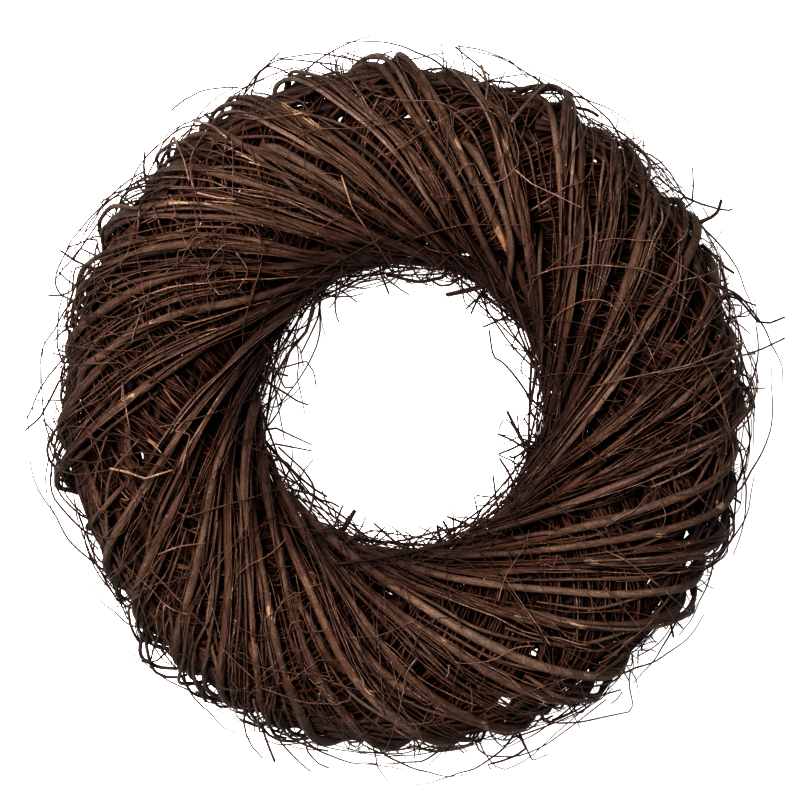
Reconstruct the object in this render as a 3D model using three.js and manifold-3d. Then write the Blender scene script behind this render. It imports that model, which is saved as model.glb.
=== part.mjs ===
// A wicker wreath, lying flat on its back with its show side up.
// A ring of packed brushwood is wound round with rods. On top each rod climbs over the outer rim
// and sweeps clockwise to the inner rim, and below others carry the winding on underneath.
// Millimetres, +Z up, origin on the table under the middle of the hole.
// Angles round the ring run clockwise from +Y as seen from above. Angles round the ring's own
// section run from 0 at the outer rim over 90 on top and 180 at the inner rim to 270 underneath.
import * as THREE from "three";
import { mergeVertices } from "three/addons/utils/BufferGeometryUtils.js";
import Module from "manifold-3d";

const wasm = await Module();
wasm.setup();

// Packed core, measured over its crests
const CORE_OUTER_RADIUS = 190.5;
const CORE_INNER_RADIUS = 92.5;
const CORE_HEIGHT = 79;
const RIDGES = 80;
const SECTION_ROWS = 12;
const GROOVE_DEPTH = [4.5, 8];
const CREST_DROP = 0.7;
// Whole ridges by which the core's brushwood leans back over one turn of the section
const RIDGE_LEAN = 16;

// How the rods wind: turn along the ring per turn of the section at the outer rim, and how fast
// that grows towards the inner rim, where the rods lie almost along the ring
const WIND_RATE = 0.145;
const WIND_GROWTH = 2.6;
const WIND_REFERENCE_RADIUS = 194.5;
const WIND_STEP = 2;

// Rods over the top: where each crosses the outer rim, in degrees, its radius there, how many
// degrees further along than its even winding it lies on top, and how far its loop over the
// rim stands off the core
const FRONT_RODS = [
  [-2.3, 3.5, -1.5, 5], [7.7, 3.2, 0, 1], [23, 2.6, -2.5, 2], [27.9, 3.7, -2.5, 1],
  [36, 3, -1, 2], [42.5, 3.6, 1.3, 2], [56.3, 3.7, -1.6, 5], [64.5, 3.3, 3.5, 3],
  [77.2, 3.4, -2, 1], [89.2, 3.4, -2.5, 2], [97.1, 3.4, 0, 0], [103.8, 3, 0, 3],
  [112.6, 3, -2, 3], [118.8, 3, 0.2, 4], [125.5, 3.5, 3.5, 3], [140, 3.6, 2, 3],
  [147.5, 3.4, 2, 3], [159.5, 3.7, 4.8, 4], [171.5, 3.7, 5.6, 2], [181.8, 3.6, 3.8, 3],
  [192.9, 3.7, 0, 5], [201, 2.7, -2, 5], [209.5, 3.3, -4, 5], [219.6, 3.6, -3.7, 3],
  [229.6, 3.6, -2, 2], [239.3, 3.4, -1.5, 2], [258, 3.7, -0.5, 5], [265, 3.3, 6.2, 5],
  [279.2, 3.3, 4, 3], [290.8, 3.5, 1.2, 0], [300.7, 3.7, 1.7, 5], [311.4, 3, 0, 2],
  [320, 3, -1.2, 5], [331.5, 3.6, 0, 5], [342.3, 2.9, 1.2, 3], [353, 2.9, -2.8, 5],
];
const FRONT_START = -66;
const FRONT_END = 184;
const FRONT_SEGMENTS = 15;
const FRONT_TAPER = 0.78;
// At the inner rim the rods lie evenly, from this angle on, with every second one raised
const INNER_SLOT_START = -5.2;
const BENT_FROM = 10;
const BENT_BY = 90;
const EVEN_BY = 170;
const RAISE = 5.6;
const RAISE_FROM = 80;
const RAISE_BY = 132;
// Angles round the section between which a rod's loop rises off the core and comes down again
const LOOP_RISES = [-48, 0];
const LOOP_FALLS = [10, 58];

// Rods underneath, all alike, the lowest stretch of each being level
const BACK_RODS = 23;
const BACK_RADIUS = 3.3;
const BACK_START = 192;
const BACK_END = 288;
const BACK_SEGMENTS = 8;

const ROD_SIDES = 5;
// Room between the core's crests and the rods' straight stretches, above and underneath
const FRONT_CLEARANCE = 0.6;
const BACK_CLEARANCE = 0.25;
const FLAT_CUT = 0.4;

// Wisps that stand off the outer rim: where they root, how far they run and how far they reach
const RIM_WISP_ROOTS = [-38, 4, -17, 23];
const RIM_WISP_SPAN = [17, 27];
const RIM_WISP_REACH = [208, 214];
const WISP_TURN_OFF = 2.6;
const RIM_WISP_RISE = 5;
// Four of them reach furthest, one to each side: rod number and the angle where its wisp ends
const FARTHEST_WISPS = new Map([[34, 0], [7, 90], [17, 180], [25, 270]]);
const FARTHEST_REACH = 218;

// Wisps that stand into the hole
const HOLE_WISP_REACH = [69, 73];
const HOLE_WISP_SPAN = [13, 22];
const HOLE_WISP_RISE = 3;
const FRONT_HOLE_WISP_ROOTS = [150, 159];
const BACK_HOLE_WISP_ROOTS = [200, 194];

// Twigs that fork from a rod and lie in the gap beside it
const TWIG_ROOTS = [24, 56];
const TWIG_LENGTHS = [52, 74];
const TWIG_OFFSET = 0.48;
const TWIG_ASIDE_BY = 0.6;
const TWIG_LIFT = 2.2;
const TWIG_DOWN_BY = 0.5;

const SHOOT_SIDES = 3;
const SHOOT_SEGMENTS = 5;
const WISP_RADII = [0.95, 0.45];
const TWIG_RADII = [1.25, 0.6];
const WISP_KINK = 1.3;

// The block under the table top that trims the underside level
const TABLE_SIZE = 600;
const TABLE_DEPTH = 20;

// What each seeded draw is for
const DRAW = {
  groove: 1, crest: 2,
  rimSpan: 3, rimReach: 4, rimRise: 5,
  frontHoleSpan: 6, frontHoleReach: 7, frontHoleRise: 8,
  backHoleSpan: 9, backHoleReach: 10, backHoleRise: 11,
  twigRoot: 12, twigLength: 13,
  kinkAside: 20, kinkUp: 30,
};
// Wisps of different kinds draw their kinks under numbers of their own
const FRONT_HOLE_PIECE = 100;
const BACK_HOLE_PIECE = 200;

const SECTION_CENTRE_RADIUS = (CORE_OUTER_RADIUS + CORE_INNER_RADIUS) / 2;
const SECTION_HALF_WIDTH = (CORE_OUTER_RADIUS - CORE_INNER_RADIUS) / 2;
const SECTION_HALF_HEIGHT = CORE_HEIGHT / 2;
// Distance from a rod's middle line to a flat of its many-sided section, per unit of radius
const FLAT_DISTANCE = Math.cos(Math.PI / ROD_SIDES);
const BACK_LIFT = BACK_RADIUS + BACK_CLEARANCE;
const RING_CENTRE_HEIGHT =
  SECTION_HALF_HEIGHT + BACK_LIFT + BACK_RADIUS * FLAT_DISTANCE - FLAT_CUT;

const ROD_COLOR = 0x553c2d;
const BACK_ROD_COLOR = 0x4a3225;
const CORE_COLOR = 0x2e1a12;

const radians = THREE.MathUtils.degToRad;

// A repeatable draw from 0 to 1 for one piece and one purpose
function draw(piece, purpose) {
  const value = Math.sin(piece * 12.9898 + purpose * 78.233) * 43758.5453;
  return value - Math.floor(value);
}

function between([low, high], share) {
  return low + (high - low) * share;
}

function smooth(value, from, to) {
  const t = Math.min(1, Math.max(0, (value - from) / (to - from)));
  return t * t * (3 - 2 * t);
}

// Outward direction on the core at an angle round its section, as radial and vertical parts
function sectionNormal(section) {
  const radial = SECTION_HALF_HEIGHT * Math.cos(radians(section));
  const vertical = SECTION_HALF_WIDTH * Math.sin(radians(section));
  const length = Math.hypot(radial, vertical);
  return [radial / length, vertical / length];
}

function ringPoint(around, radius, height) {
  const angle = radians(around);
  return new THREE.Vector3(radius * Math.sin(angle), radius * Math.cos(angle), height);
}

// A point a given lift outside the core's crests
function surfacePoint(around, section, lift) {
  const [radial, vertical] = sectionNormal(section);
  const radius =
    SECTION_CENTRE_RADIUS + SECTION_HALF_WIDTH * Math.cos(radians(section)) + lift * radial;
  const height =
    RING_CENTRE_HEIGHT + SECTION_HALF_HEIGHT * Math.sin(radians(section)) + lift * vertical;
  return ringPoint(around, radius, height);
}

function surfaceNormal(around, section) {
  const [radial, vertical] = sectionNormal(section);
  return ringPoint(around, radial, vertical);
}

// How far along the ring a rod has wound by an angle round the section, counted from the rim
function windingAt(section) {
  const steps = Math.max(1, Math.round(Math.abs(section) / WIND_STEP));
  const step = section / steps;
  let turned = 0;
  for (let i = 0; i < steps; i++) {
    const middle = radians((i + 0.5) * step);
    const radius = SECTION_CENTRE_RADIUS + SECTION_HALF_WIDTH * Math.cos(middle);
    turned += WIND_RATE * (WIND_REFERENCE_RADIUS / radius) ** WIND_GROWTH * step;
  }
  return turned;
}

// A closed tube through the points. At each one a corner of its section faces outward.
function tube(points, radii, outward, sides) {
  const positions = [];
  points.forEach((point, i) => {
    const before = points[Math.max(0, i - 1)];
    const after = points[Math.min(points.length - 1, i + 1)];
    const along = after.clone().sub(before).normalize();
    const across = along.clone().cross(outward[i]).normalize();
    const up = across.clone().cross(along);
    for (let k = 0; k < sides; k++) {
      const angle = (2 * Math.PI * k) / sides;
      const corner = point
        .clone()
        .addScaledVector(up, radii[i] * Math.cos(angle))
        .addScaledVector(across, radii[i] * Math.sin(angle));
      positions.push(corner.x, corner.y, corner.z);
    }
  });
  const faces = [];
  const last = (points.length - 1) * sides;
  for (let i = 0; i < last; i += sides) {
    for (let k = 0; k < sides; k++) {
      const next = (k + 1) % sides;
      faces.push(i + k, i + next, i + sides + k);
      faces.push(i + next, i + sides + next, i + sides + k);
    }
  }
  for (let k = 1; k < sides - 1; k++) {
    faces.push(0, k + 1, k);
    faces.push(last, last + k, last + k + 1);
  }
  const geometry = new THREE.BufferGeometry();
  geometry.setAttribute("position", new THREE.Float32BufferAttribute(positions, 3));
  geometry.setIndex(faces);
  return geometry;
}

function solidFrom(geometry) {
  const merged = mergeVertices(geometry);
  return new wasm.Manifold(
    new wasm.Mesh({
      numProp: 3,
      vertProperties: merged.attributes.position.array,
      triVerts: new Uint32Array(merged.index.array),
    }),
  );
}

function geometryFrom(solid) {
  const mesh = solid.getMesh();
  const geometry = new THREE.BufferGeometry();
  geometry.setAttribute("position", new THREE.BufferAttribute(mesh.vertProperties, 3));
  geometry.setIndex(new THREE.BufferAttribute(mesh.triVerts, 1));
  return geometry;
}

function fuse(stem, shoots) {
  return shoots.reduce((whole, shoot) => whole.add(solidFrom(shoot)), solidFrom(stem));
}

// The packed core: ridges of brushwood that lean back against the rods' winding
function coreGeometry() {
  const columns = 2 * RIDGES;
  const positions = [];
  for (let row = 0; row < SECTION_ROWS; row++) {
    const section = (360 * row) / SECTION_ROWS;
    const leanBack = (360 * RIDGE_LEAN * row) / (RIDGES * SECTION_ROWS);
    for (let column = 0; column < columns; column++) {
      const around = (360 * column) / columns - leanBack;
      const depth = column % 2
        ? between(GROOVE_DEPTH, draw(column, DRAW.groove))
        : CREST_DROP * draw(row * columns + column, DRAW.crest);
      const point = surfacePoint(around, section, -depth);
      positions.push(point.x, point.y, point.z);
    }
  }
  const faces = [];
  for (let row = 0; row < SECTION_ROWS; row++) {
    const nextRow = (row + 1) % SECTION_ROWS;
    // Going once round the section, each ridge meets one further along
    const shift = nextRow === 0 ? 2 * RIDGE_LEAN : 0;
    for (let column = 0; column < columns; column++) {
      const next = (column + 1) % columns;
      const here = row * columns + column;
      const beside = row * columns + next;
      const above = nextRow * columns + ((column - shift + columns) % columns);
      const aboveBeside = nextRow * columns + ((next - shift + columns) % columns);
      faces.push(here, above, beside);
      faces.push(beside, above, aboveBeside);
    }
  }
  const geometry = new THREE.BufferGeometry();
  geometry.setAttribute("position", new THREE.Float32BufferAttribute(positions, 3));
  geometry.setIndex(faces);
  return geometry;
}

// Where rod i over the top lies at an angle round the section
function frontAround(i, section) {
  const lap = Math.floor(i / FRONT_RODS.length);
  const [ownRim, , bend] = FRONT_RODS[i - lap * FRONT_RODS.length];
  const rim = ownRim + 360 * lap;
  const slot = INNER_SLOT_START + (360 * i) / FRONT_RODS.length;
  const bent = bend * smooth(section, BENT_FROM, BENT_BY);
  const evened = (slot - rim - bend) * smooth(section, BENT_BY, EVEN_BY);
  return rim + bent + evened + windingAt(section);
}

function frontRadius(i, section) {
  const share = (section - FRONT_START) / (FRONT_END - FRONT_START);
  return FRONT_RODS[i][1] * (1 + (FRONT_TAPER - 1) * share);
}

function frontLift(i, section) {
  const loop = FRONT_RODS[i][3] * smooth(section, ...LOOP_RISES) * (1 - smooth(section, ...LOOP_FALLS));
  const raise = i % 2 ? RAISE * smooth(section, RAISE_FROM, RAISE_BY) : 0;
  return frontRadius(i, section) * FLAT_DISTANCE + FRONT_CLEARANCE + loop + raise;
}

function frontRodGeometry(i) {
  const points = [];
  const radii = [];
  const outward = [];
  for (let k = 0; k <= FRONT_SEGMENTS; k++) {
    const section = between([FRONT_START, FRONT_END], k / FRONT_SEGMENTS);
    const around = frontAround(i, section);
    points.push(surfacePoint(around, section, frontLift(i, section)));
    radii.push(frontRadius(i, section));
    outward.push(surfaceNormal(around, section));
  }
  return tube(points, radii, outward, ROD_SIDES);
}

function backAround(j, section) {
  return (360 * j) / BACK_RODS + windingAt(section);
}

// A rod underneath has a flat of its section facing out, so that its lowest stretch lies flat
function backRodGeometry(j) {
  const points = [];
  const radii = [];
  const outward = [];
  for (let k = 0; k <= BACK_SEGMENTS; k++) {
    const section = between([BACK_START, BACK_END], k / BACK_SEGMENTS);
    const around = backAround(j, section);
    points.push(surfacePoint(around, section, BACK_LIFT));
    radii.push(BACK_RADIUS);
    outward.push(surfaceNormal(around, section).negate());
  }
  return tube(points, radii, outward, ROD_SIDES);
}

// A wisp that roots in the middle of a rod and runs along the ring while it leaves the rim
function wispGeometry(piece, root, tip) {
  const points = [];
  const radii = [];
  const outward = [];
  for (let k = 0; k <= SHOOT_SEGMENTS; k++) {
    const share = k / SHOOT_SEGMENTS;
    const kink = k > 1 && k < SHOOT_SEGMENTS ? WISP_KINK : 0;
    const away = 1 - (1 - share) ** WISP_TURN_OFF;
    const aside = kink * (draw(piece, DRAW.kinkAside + k) - 0.5);
    const up = kink * (draw(piece, DRAW.kinkUp + k) - 0.5);
    const radius = between([root.radius, tip.radius], away) + aside;
    const height = between([root.height, tip.height], share) + up;
    const around = between([root.around, tip.around], share);
    points.push(ringPoint(around, radius, height));
    radii.push(between(WISP_RADII, share));
    outward.push(ringPoint(around, 1, 0));
  }
  return tube(points, radii, outward, SHOOT_SIDES);
}

function rootOn(around, section, lift) {
  const point = surfacePoint(around, section, lift);
  return { around, radius: Math.hypot(point.x, point.y), height: point.z };
}

function rimWisp(i) {
  const level = i % RIM_WISP_ROOTS.length;
  const section = RIM_WISP_ROOTS[level];
  const root = rootOn(frontAround(i, section), section, frontLift(i, section));
  const way = level % 2 ? -1 : 1;
  const farthest = FARTHEST_WISPS.get(i);
  let around = root.around + way * between(RIM_WISP_SPAN, draw(i, DRAW.rimSpan));
  let radius = between(RIM_WISP_REACH, draw(i, DRAW.rimReach));
  if (farthest !== undefined) {
    // The shorter way round from the root to that side
    around = root.around + ((((farthest - root.around) % 360) + 540) % 360) - 180;
    radius = FARTHEST_REACH;
  }
  const height = root.height + RIM_WISP_RISE * (draw(i, DRAW.rimRise) - 0.5);
  return wispGeometry(i, root, { around, radius, height });
}

// On the raised rods a wisp points back into the hole
function frontHoleWisp(i) {
  const section = FRONT_HOLE_WISP_ROOTS[Math.floor(i / 2) % 2];
  const root = rootOn(frontAround(i, section), section, frontLift(i, section));
  const tip = {
    around: root.around - between(HOLE_WISP_SPAN, draw(i, DRAW.frontHoleSpan)),
    radius: between(HOLE_WISP_REACH, draw(i, DRAW.frontHoleReach)),
    height: root.height + HOLE_WISP_RISE * (draw(i, DRAW.frontHoleRise) - 0.5),
  };
  return wispGeometry(FRONT_HOLE_PIECE + i, root, tip);
}

function backHoleWisp(j) {
  const section = BACK_HOLE_WISP_ROOTS[j % 2];
  const root = rootOn(backAround(j, section), section, BACK_LIFT);
  const tip = {
    around: root.around + between(HOLE_WISP_SPAN, draw(j, DRAW.backHoleSpan)),
    radius: between(HOLE_WISP_REACH, draw(j, DRAW.backHoleReach)),
    height: root.height + HOLE_WISP_RISE * (draw(j, DRAW.backHoleRise) - 0.5),
  };
  return wispGeometry(BACK_HOLE_PIECE + j, root, tip);
}

// A twig forks from its rod and settles halfway to the next one, close over the core
function sideTwigGeometry(i) {
  const start = between(TWIG_ROOTS, draw(i, DRAW.twigRoot));
  const end = start + between(TWIG_LENGTHS, draw(i, DRAW.twigLength));
  const points = [];
  const radii = [];
  const outward = [];
  for (let k = 0; k <= SHOOT_SEGMENTS; k++) {
    const share = k / SHOOT_SEGMENTS;
    const section = between([start, end], share);
    const aside = TWIG_OFFSET * smooth(share, 0, TWIG_ASIDE_BY);
    const around = between([frontAround(i, section), frontAround(i + 1, section)], aside);
    const lift = between([frontLift(i, section), TWIG_LIFT], smooth(share, 0, TWIG_DOWN_BY));
    points.push(surfacePoint(around, section, lift));
    radii.push(between(TWIG_RADII, share));
    outward.push(surfaceNormal(around, section));
  }
  return tube(points, radii, outward, SHOOT_SIDES);
}

function frontRodSolid(i) {
  const shoots = [rimWisp(i), sideTwigGeometry(i)];
  if (i % 2) shoots.push(frontHoleWisp(i));
  return fuse(frontRodGeometry(i), shoots);
}

// The underside is cut level where the wreath rests
function backRodSolid(j) {
  const below = new THREE.BoxGeometry(TABLE_SIZE, TABLE_SIZE, TABLE_DEPTH);
  below.translate(0, 0, -TABLE_DEPTH / 2);
  below.deleteAttribute("normal");
  below.deleteAttribute("uv");
  return fuse(backRodGeometry(j), [backHoleWisp(j)]).subtract(solidFrom(below));
}

function woodMaterial(color) {
  return new THREE.MeshStandardMaterial({ color, roughness: 0.8, metalness: 0 });
}

function numbered(name, index) {
  return name + "_" + String(index + 1).padStart(2, "0");
}

const wreath = new THREE.Group();

const core = new THREE.Mesh(coreGeometry(), woodMaterial(CORE_COLOR));
core.name = "brushwood_core";
wreath.add(core);

const rodMaterial = woodMaterial(ROD_COLOR);
FRONT_RODS.forEach((_, i) => {
  const rod = new THREE.Mesh(geometryFrom(frontRodSolid(i)), rodMaterial);
  rod.name = numbered("front_rod", i);
  wreath.add(rod);
});

const backRodMaterial = woodMaterial(BACK_ROD_COLOR);
for (let j = 0; j < BACK_RODS; j++) {
  const rod = new THREE.Mesh(geometryFrom(backRodSolid(j)), backRodMaterial);
  rod.name = numbered("back_rod", j);
  wreath.add(rod);
}

export default wreath;
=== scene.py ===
import math
from dataclasses import dataclass, replace

import bpy
import numpy as np
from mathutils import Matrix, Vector


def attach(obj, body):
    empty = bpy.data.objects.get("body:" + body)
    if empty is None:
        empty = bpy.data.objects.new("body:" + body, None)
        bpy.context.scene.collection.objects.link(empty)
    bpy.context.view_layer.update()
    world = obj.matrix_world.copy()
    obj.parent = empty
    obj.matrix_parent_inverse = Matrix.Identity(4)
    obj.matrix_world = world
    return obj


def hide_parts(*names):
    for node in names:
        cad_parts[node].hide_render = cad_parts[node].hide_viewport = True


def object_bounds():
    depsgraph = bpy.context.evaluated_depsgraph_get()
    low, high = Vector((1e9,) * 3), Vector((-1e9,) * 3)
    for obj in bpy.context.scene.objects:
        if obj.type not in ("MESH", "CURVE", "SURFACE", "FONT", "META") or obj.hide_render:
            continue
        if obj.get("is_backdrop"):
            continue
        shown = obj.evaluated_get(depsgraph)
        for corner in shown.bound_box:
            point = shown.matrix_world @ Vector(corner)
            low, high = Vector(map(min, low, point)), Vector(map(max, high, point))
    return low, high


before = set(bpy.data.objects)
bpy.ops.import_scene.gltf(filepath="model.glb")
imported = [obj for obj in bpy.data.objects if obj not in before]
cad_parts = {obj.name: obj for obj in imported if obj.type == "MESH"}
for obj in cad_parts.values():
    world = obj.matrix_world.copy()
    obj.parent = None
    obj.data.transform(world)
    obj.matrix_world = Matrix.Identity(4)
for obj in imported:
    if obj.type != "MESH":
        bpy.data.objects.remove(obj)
cad_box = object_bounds()

METRES = 0.001

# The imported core, measured over its crests
CORE_OUTER_RADIUS = 190.5
CORE_INNER_RADIUS = 92.5
CORE_HEIGHT = 79
CENTRE_RADIUS = (CORE_OUTER_RADIUS + CORE_INNER_RADIUS) / 2
HALF_WIDTH = (CORE_OUTER_RADIUS - CORE_INNER_RADIUS) / 2
HALF_HEIGHT = CORE_HEIGHT / 2

# How everything that is wound on turns along the ring per turn of the section
WIND_RATE = 0.145
WIND_GROWTH = 2.6
WIND_REFERENCE_RADIUS = 194.5

# Rods over the top: where each crosses the outer rim, in degrees, its radius there, how many
# degrees further along than its even winding it lies on top, and how far its loop over the
# rim stands off the core
FRONT_RODS = [
    (-2.3, 3.5, -1.5, 5), (7.7, 3.2, 0, 1), (23, 2.6, -2.5, 2), (27.9, 3.7, -2.5, 1),
    (36, 3, -1, 2), (42.5, 3.6, 1.3, 2), (56.3, 3.7, -1.6, 5), (64.5, 3.3, 3.5, 3),
    (77.2, 3.4, -2, 1), (89.2, 3.4, -2.5, 2), (97.1, 3.4, 0, 0), (103.8, 3, 0, 3),
    (112.6, 3, -2, 3), (118.8, 3, 0.2, 4), (125.5, 3.5, 3.5, 3), (140, 3.6, 2, 3),
    (147.5, 3.4, 2, 3), (159.5, 3.7, 4.8, 4), (171.5, 3.7, 5.6, 2), (181.8, 3.6, 3.8, 3),
    (192.9, 3.7, 0, 5), (201, 2.7, -2, 5), (209.5, 3.3, -4, 5), (219.6, 3.6, -3.7, 3),
    (229.6, 3.6, -2, 2), (239.3, 3.4, -1.5, 2), (258, 3.7, -0.5, 5), (265, 3.3, 6.2, 5),
    (279.2, 3.3, 4, 3), (290.8, 3.5, 1.2, 0), (300.7, 3.7, 1.7, 5), (311.4, 3, 0, 2),
    (320, 3, -1.2, 5), (331.5, 3.6, 0, 5), (342.3, 2.9, 1.2, 3), (353, 2.9, -2.8, 5),
]
FRONT_START = -66
FRONT_END = 184
FRONT_TAPER = 0.78
INNER_SLOT_START = -5.2
BENT_FROM = 10
BENT_BY = 90
EVEN_BY = 170
RAISE = 5.6
RAISE_FROM = 80
RAISE_BY = 132
LOOP_RISES = (-48, 0)
LOOP_FALLS = (10, 58)
FRONT_CLEARANCE = 0.6

# Rods underneath
BACK_RODS = 23
BACK_RADIUS = 3.3
BACK_START = 192
BACK_END = 288
BACK_CLEARANCE = 0.25

FRAME_ROD_SIDES = 5
FLAT_CUT = 0.4
FLAT_DISTANCE = math.cos(math.pi / FRAME_ROD_SIDES)
BACK_LIFT = BACK_RADIUS + BACK_CLEARANCE
CENTRE_HEIGHT = HALF_HEIGHT + BACK_LIFT + BACK_RADIUS * FLAT_DISTANCE - FLAT_CUT

# Wisps that root on the rods and stand off both rims
RIM_WISP_ROOTS = (-38, 4, -17, 23)
RIM_WISP_SPAN = (17, 27)
RIM_WISP_REACH = (208, 214)
RIM_WISP_RISE = 5
FARTHEST_WISPS = {34: 0, 7: 90, 17: 180, 25: 270}
FARTHEST_REACH = 218
HOLE_WISP_REACH = (69, 73)
HOLE_WISP_SPAN = (13, 22)
HOLE_WISP_RISE = 3
FRONT_HOLE_WISP_ROOTS = (150, 159)
BACK_HOLE_WISP_ROOTS = (200, 194)
WISP_TURN_OFF = 2.6
BARK_WISP_RADII = (0.7, 0.25)
WISP_KINK = 1.3
WISP_BENDS = 5
WISP_RINGS = 26

# Twigs that fork from a rod and lie in the gap beside it
TWIG_ROOTS = (24, 56)
TWIG_LENGTHS = (52, 74)
TWIG_OFFSET = 0.48
TWIG_ASIDE_BY = 0.6
TWIG_LIFT = 2.2
TWIG_DOWN_BY = 0.5
TWIG_RADII = (1.25, 0.6)
TWIG_RINGS = 34

# What each of the draws that place the wisps and forks is for
DRAW_RIM_SPAN = 3
DRAW_RIM_REACH = 4
DRAW_RIM_RISE = 5
DRAW_FRONT_HOLE = (6, 7, 8)
DRAW_BACK_HOLE = (9, 10, 11)
DRAW_TWIG_ROOT = 12
DRAW_TWIG_LENGTH = 13
DRAW_KINK_ASIDE = 20
DRAW_KINK_UP = 30
FRONT_HOLE_PIECE = 100
BACK_HOLE_PIECE = 200

# The photograph: millimetres per pixel at the ring's middle height, and where the middle of
# the hole lies in its 800 pixels
PIXEL = 0.58
PHOTO_SIZE = 800
PHOTO_CENTRE = (403, 406)
CAMERA_DISTANCE = 1500
SENSOR_WIDTH = 36

# Where the camera stands, straight above the middle of the photograph
CAMERA_X = (PHOTO_SIZE / 2 - PHOTO_CENTRE[0]) * PIXEL
CAMERA_Y = (PHOTO_CENTRE[1] - PHOTO_SIZE / 2) * PIXEL


# The seed of each kind of twig
SEEDS = {
    "bundled_rods": 31, "fine_twigs": 32, "crossing_twigs": 33, "extra_rods": 34,
    "inner_rods": 35, "rim_tangle": 36, "inner_chords": 37, "curls": 38, "brushwood": 41,
    "rim_filling": 42, "ring_bundle": 51, "rim_strays": 61, "hole_strays": 62, "rim_fuzz": 63,
    "hole_fuzz": 64,
}

# The thick rods' seeds run on from these
FRONT_SEED = 1000
BACK_SEED = 2000

# The factors that the frame's own draws use
DRAW_FACTORS = (12.9898, 78.233, 43758.5453)


def draw(piece, purpose):
    """A repeatable draw from 0 to 1 for one piece and one purpose, the same as the frame's."""
    by_piece, by_purpose, spread = DRAW_FACTORS
    value = math.sin(piece * by_piece + purpose * by_purpose) * spread
    return value - math.floor(value)


def between(ends, share):
    return ends[0] + (ends[1] - ends[0]) * share


def smooth(value, low, high):
    t = np.clip((np.asarray(value, float) - low) / (high - low), 0, 1)
    return t * t * (3 - 2 * t)


def nearness(height):
    """What a pixel of the photograph covers at a height, as a share of that at middle height."""
    return 1 - (height - CENTRE_HEIGHT) / CAMERA_DISTANCE


# Places on the ring

# How far along the ring a rod has wound at angles round the section, with none at 0
WOUND_STEP = 0.5
WOUND_AT = np.arange(-200, 400 + WOUND_STEP, WOUND_STEP)
WOUND_MIDDLES = np.radians((WOUND_AT[1:] + WOUND_AT[:-1]) / 2)
WOUND_RATES = WIND_REFERENCE_RADIUS / (CENTRE_RADIUS + HALF_WIDTH * np.cos(WOUND_MIDDLES))
WOUND_SUMS = np.cumsum(WIND_RATE * WOUND_RATES ** WIND_GROWTH * np.diff(WOUND_AT))
WOUND = np.concatenate([[0], WOUND_SUMS])
WOUND = WOUND - np.interp(0, WOUND_AT, WOUND)


def winding(section):
    """How far along the ring a rod has wound by an angle round the section."""
    return np.interp(section, WOUND_AT, WOUND)


def ring_point(around, radius, height):
    angle = np.radians(around)
    parts = np.broadcast_arrays(radius * np.sin(angle), radius * np.cos(angle), height)
    return np.stack(parts, axis=-1)


def surface_point(around, section, lift):
    """A point a given lift outside the core's crests."""
    angle = np.radians(section)
    radial = HALF_HEIGHT * np.cos(angle)
    vertical = HALF_WIDTH * np.sin(angle)
    length = np.hypot(radial, vertical)
    radius = CENTRE_RADIUS + HALF_WIDTH * np.cos(angle) + lift * radial / length
    height = CENTRE_HEIGHT + HALF_HEIGHT * np.sin(angle) + lift * vertical / length
    return ring_point(around, radius, height)


def skin_scale(section):
    """Millimetres on the skin for a degree round the ring and for a degree round the section."""
    angle = np.radians(section)
    ring = CENTRE_RADIUS + HALF_WIDTH * np.cos(angle)
    slope = np.hypot(HALF_WIDTH * np.sin(angle), HALF_HEIGHT * np.cos(angle))
    return np.radians(ring), np.radians(slope)


def front_around(index, section):
    """Where rods over the top lie at angles round the section. Indexes run on over the laps."""
    rods = np.array(FRONT_RODS)
    lap, own = np.divmod(np.asarray(index, int), len(FRONT_RODS))
    rim = rods[own, 0] + 360 * lap
    bend = rods[own, 2]
    slot = INNER_SLOT_START + 360 * np.asarray(index) / len(FRONT_RODS)
    bent = bend * smooth(section, BENT_FROM, BENT_BY)
    evened = (slot - rim - bend) * smooth(section, BENT_BY, EVEN_BY)
    return rim + bent + evened + winding(section)


def front_radius(index, section):
    share = (np.asarray(section) - FRONT_START) / (FRONT_END - FRONT_START)
    return FRONT_RODS[index][1] * (1 + (FRONT_TAPER - 1) * share)


def rim_loop(section):
    return smooth(section, *LOOP_RISES) * (1 - smooth(section, *LOOP_FALLS))


def front_lift(index, section):
    raised = RAISE * smooth(section, RAISE_FROM, RAISE_BY) if index % 2 else 0
    loop = FRONT_RODS[index][3] * rim_loop(section)
    return front_radius(index, section) * FLAT_DISTANCE + FRONT_CLEARANCE + loop + raised


def back_around(index, section):
    return 360 * np.asarray(index) / BACK_RODS + winding(section)


# Twigs and their meshes

@dataclass
class Twigs:
    """Twigs with equally many rings: middle lines, radii by ring or by corner, and tones.

    Each ring may also have a share of a knot and a share of bare wood.
    """

    points: np.ndarray
    radii: np.ndarray
    sides: int
    tone: np.ndarray
    knots: np.ndarray = None
    bare: np.ndarray = None


SHORTEST = 1e-9


def unit(vectors):
    return vectors / np.maximum(np.linalg.norm(vectors, axis=-1, keepdims=True), SHORTEST)


def reach_along(points):
    """How far along its twig each ring lies."""
    steps = np.linalg.norm(np.diff(points, axis=1), axis=-1)
    return np.concatenate([np.zeros((len(steps), 1)), np.cumsum(steps, axis=1)], axis=1)


# Twigs whose direction has a smaller level part than this count as upright
UPRIGHT = 0.1


def carried_frames(points):
    """Directions across each twig at each ring, carried along it without a twist."""
    along = unit(np.gradient(points, axis=1))
    side = np.empty_like(points)
    flat = np.cross(along[:, 0], (0, 0, 1.0))
    steep = np.linalg.norm(flat, axis=1) < UPRIGHT
    flat[steep] = np.cross(along[steep, 0], (1.0, 0, 0))
    side[:, 0] = unit(flat)
    for ring in range(1, points.shape[1]):
        before = side[:, ring - 1]
        here = along[:, ring]
        side[:, ring] = unit(before - (before * here).sum(-1, keepdims=True) * here)
    return side, np.cross(along, side)


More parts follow.
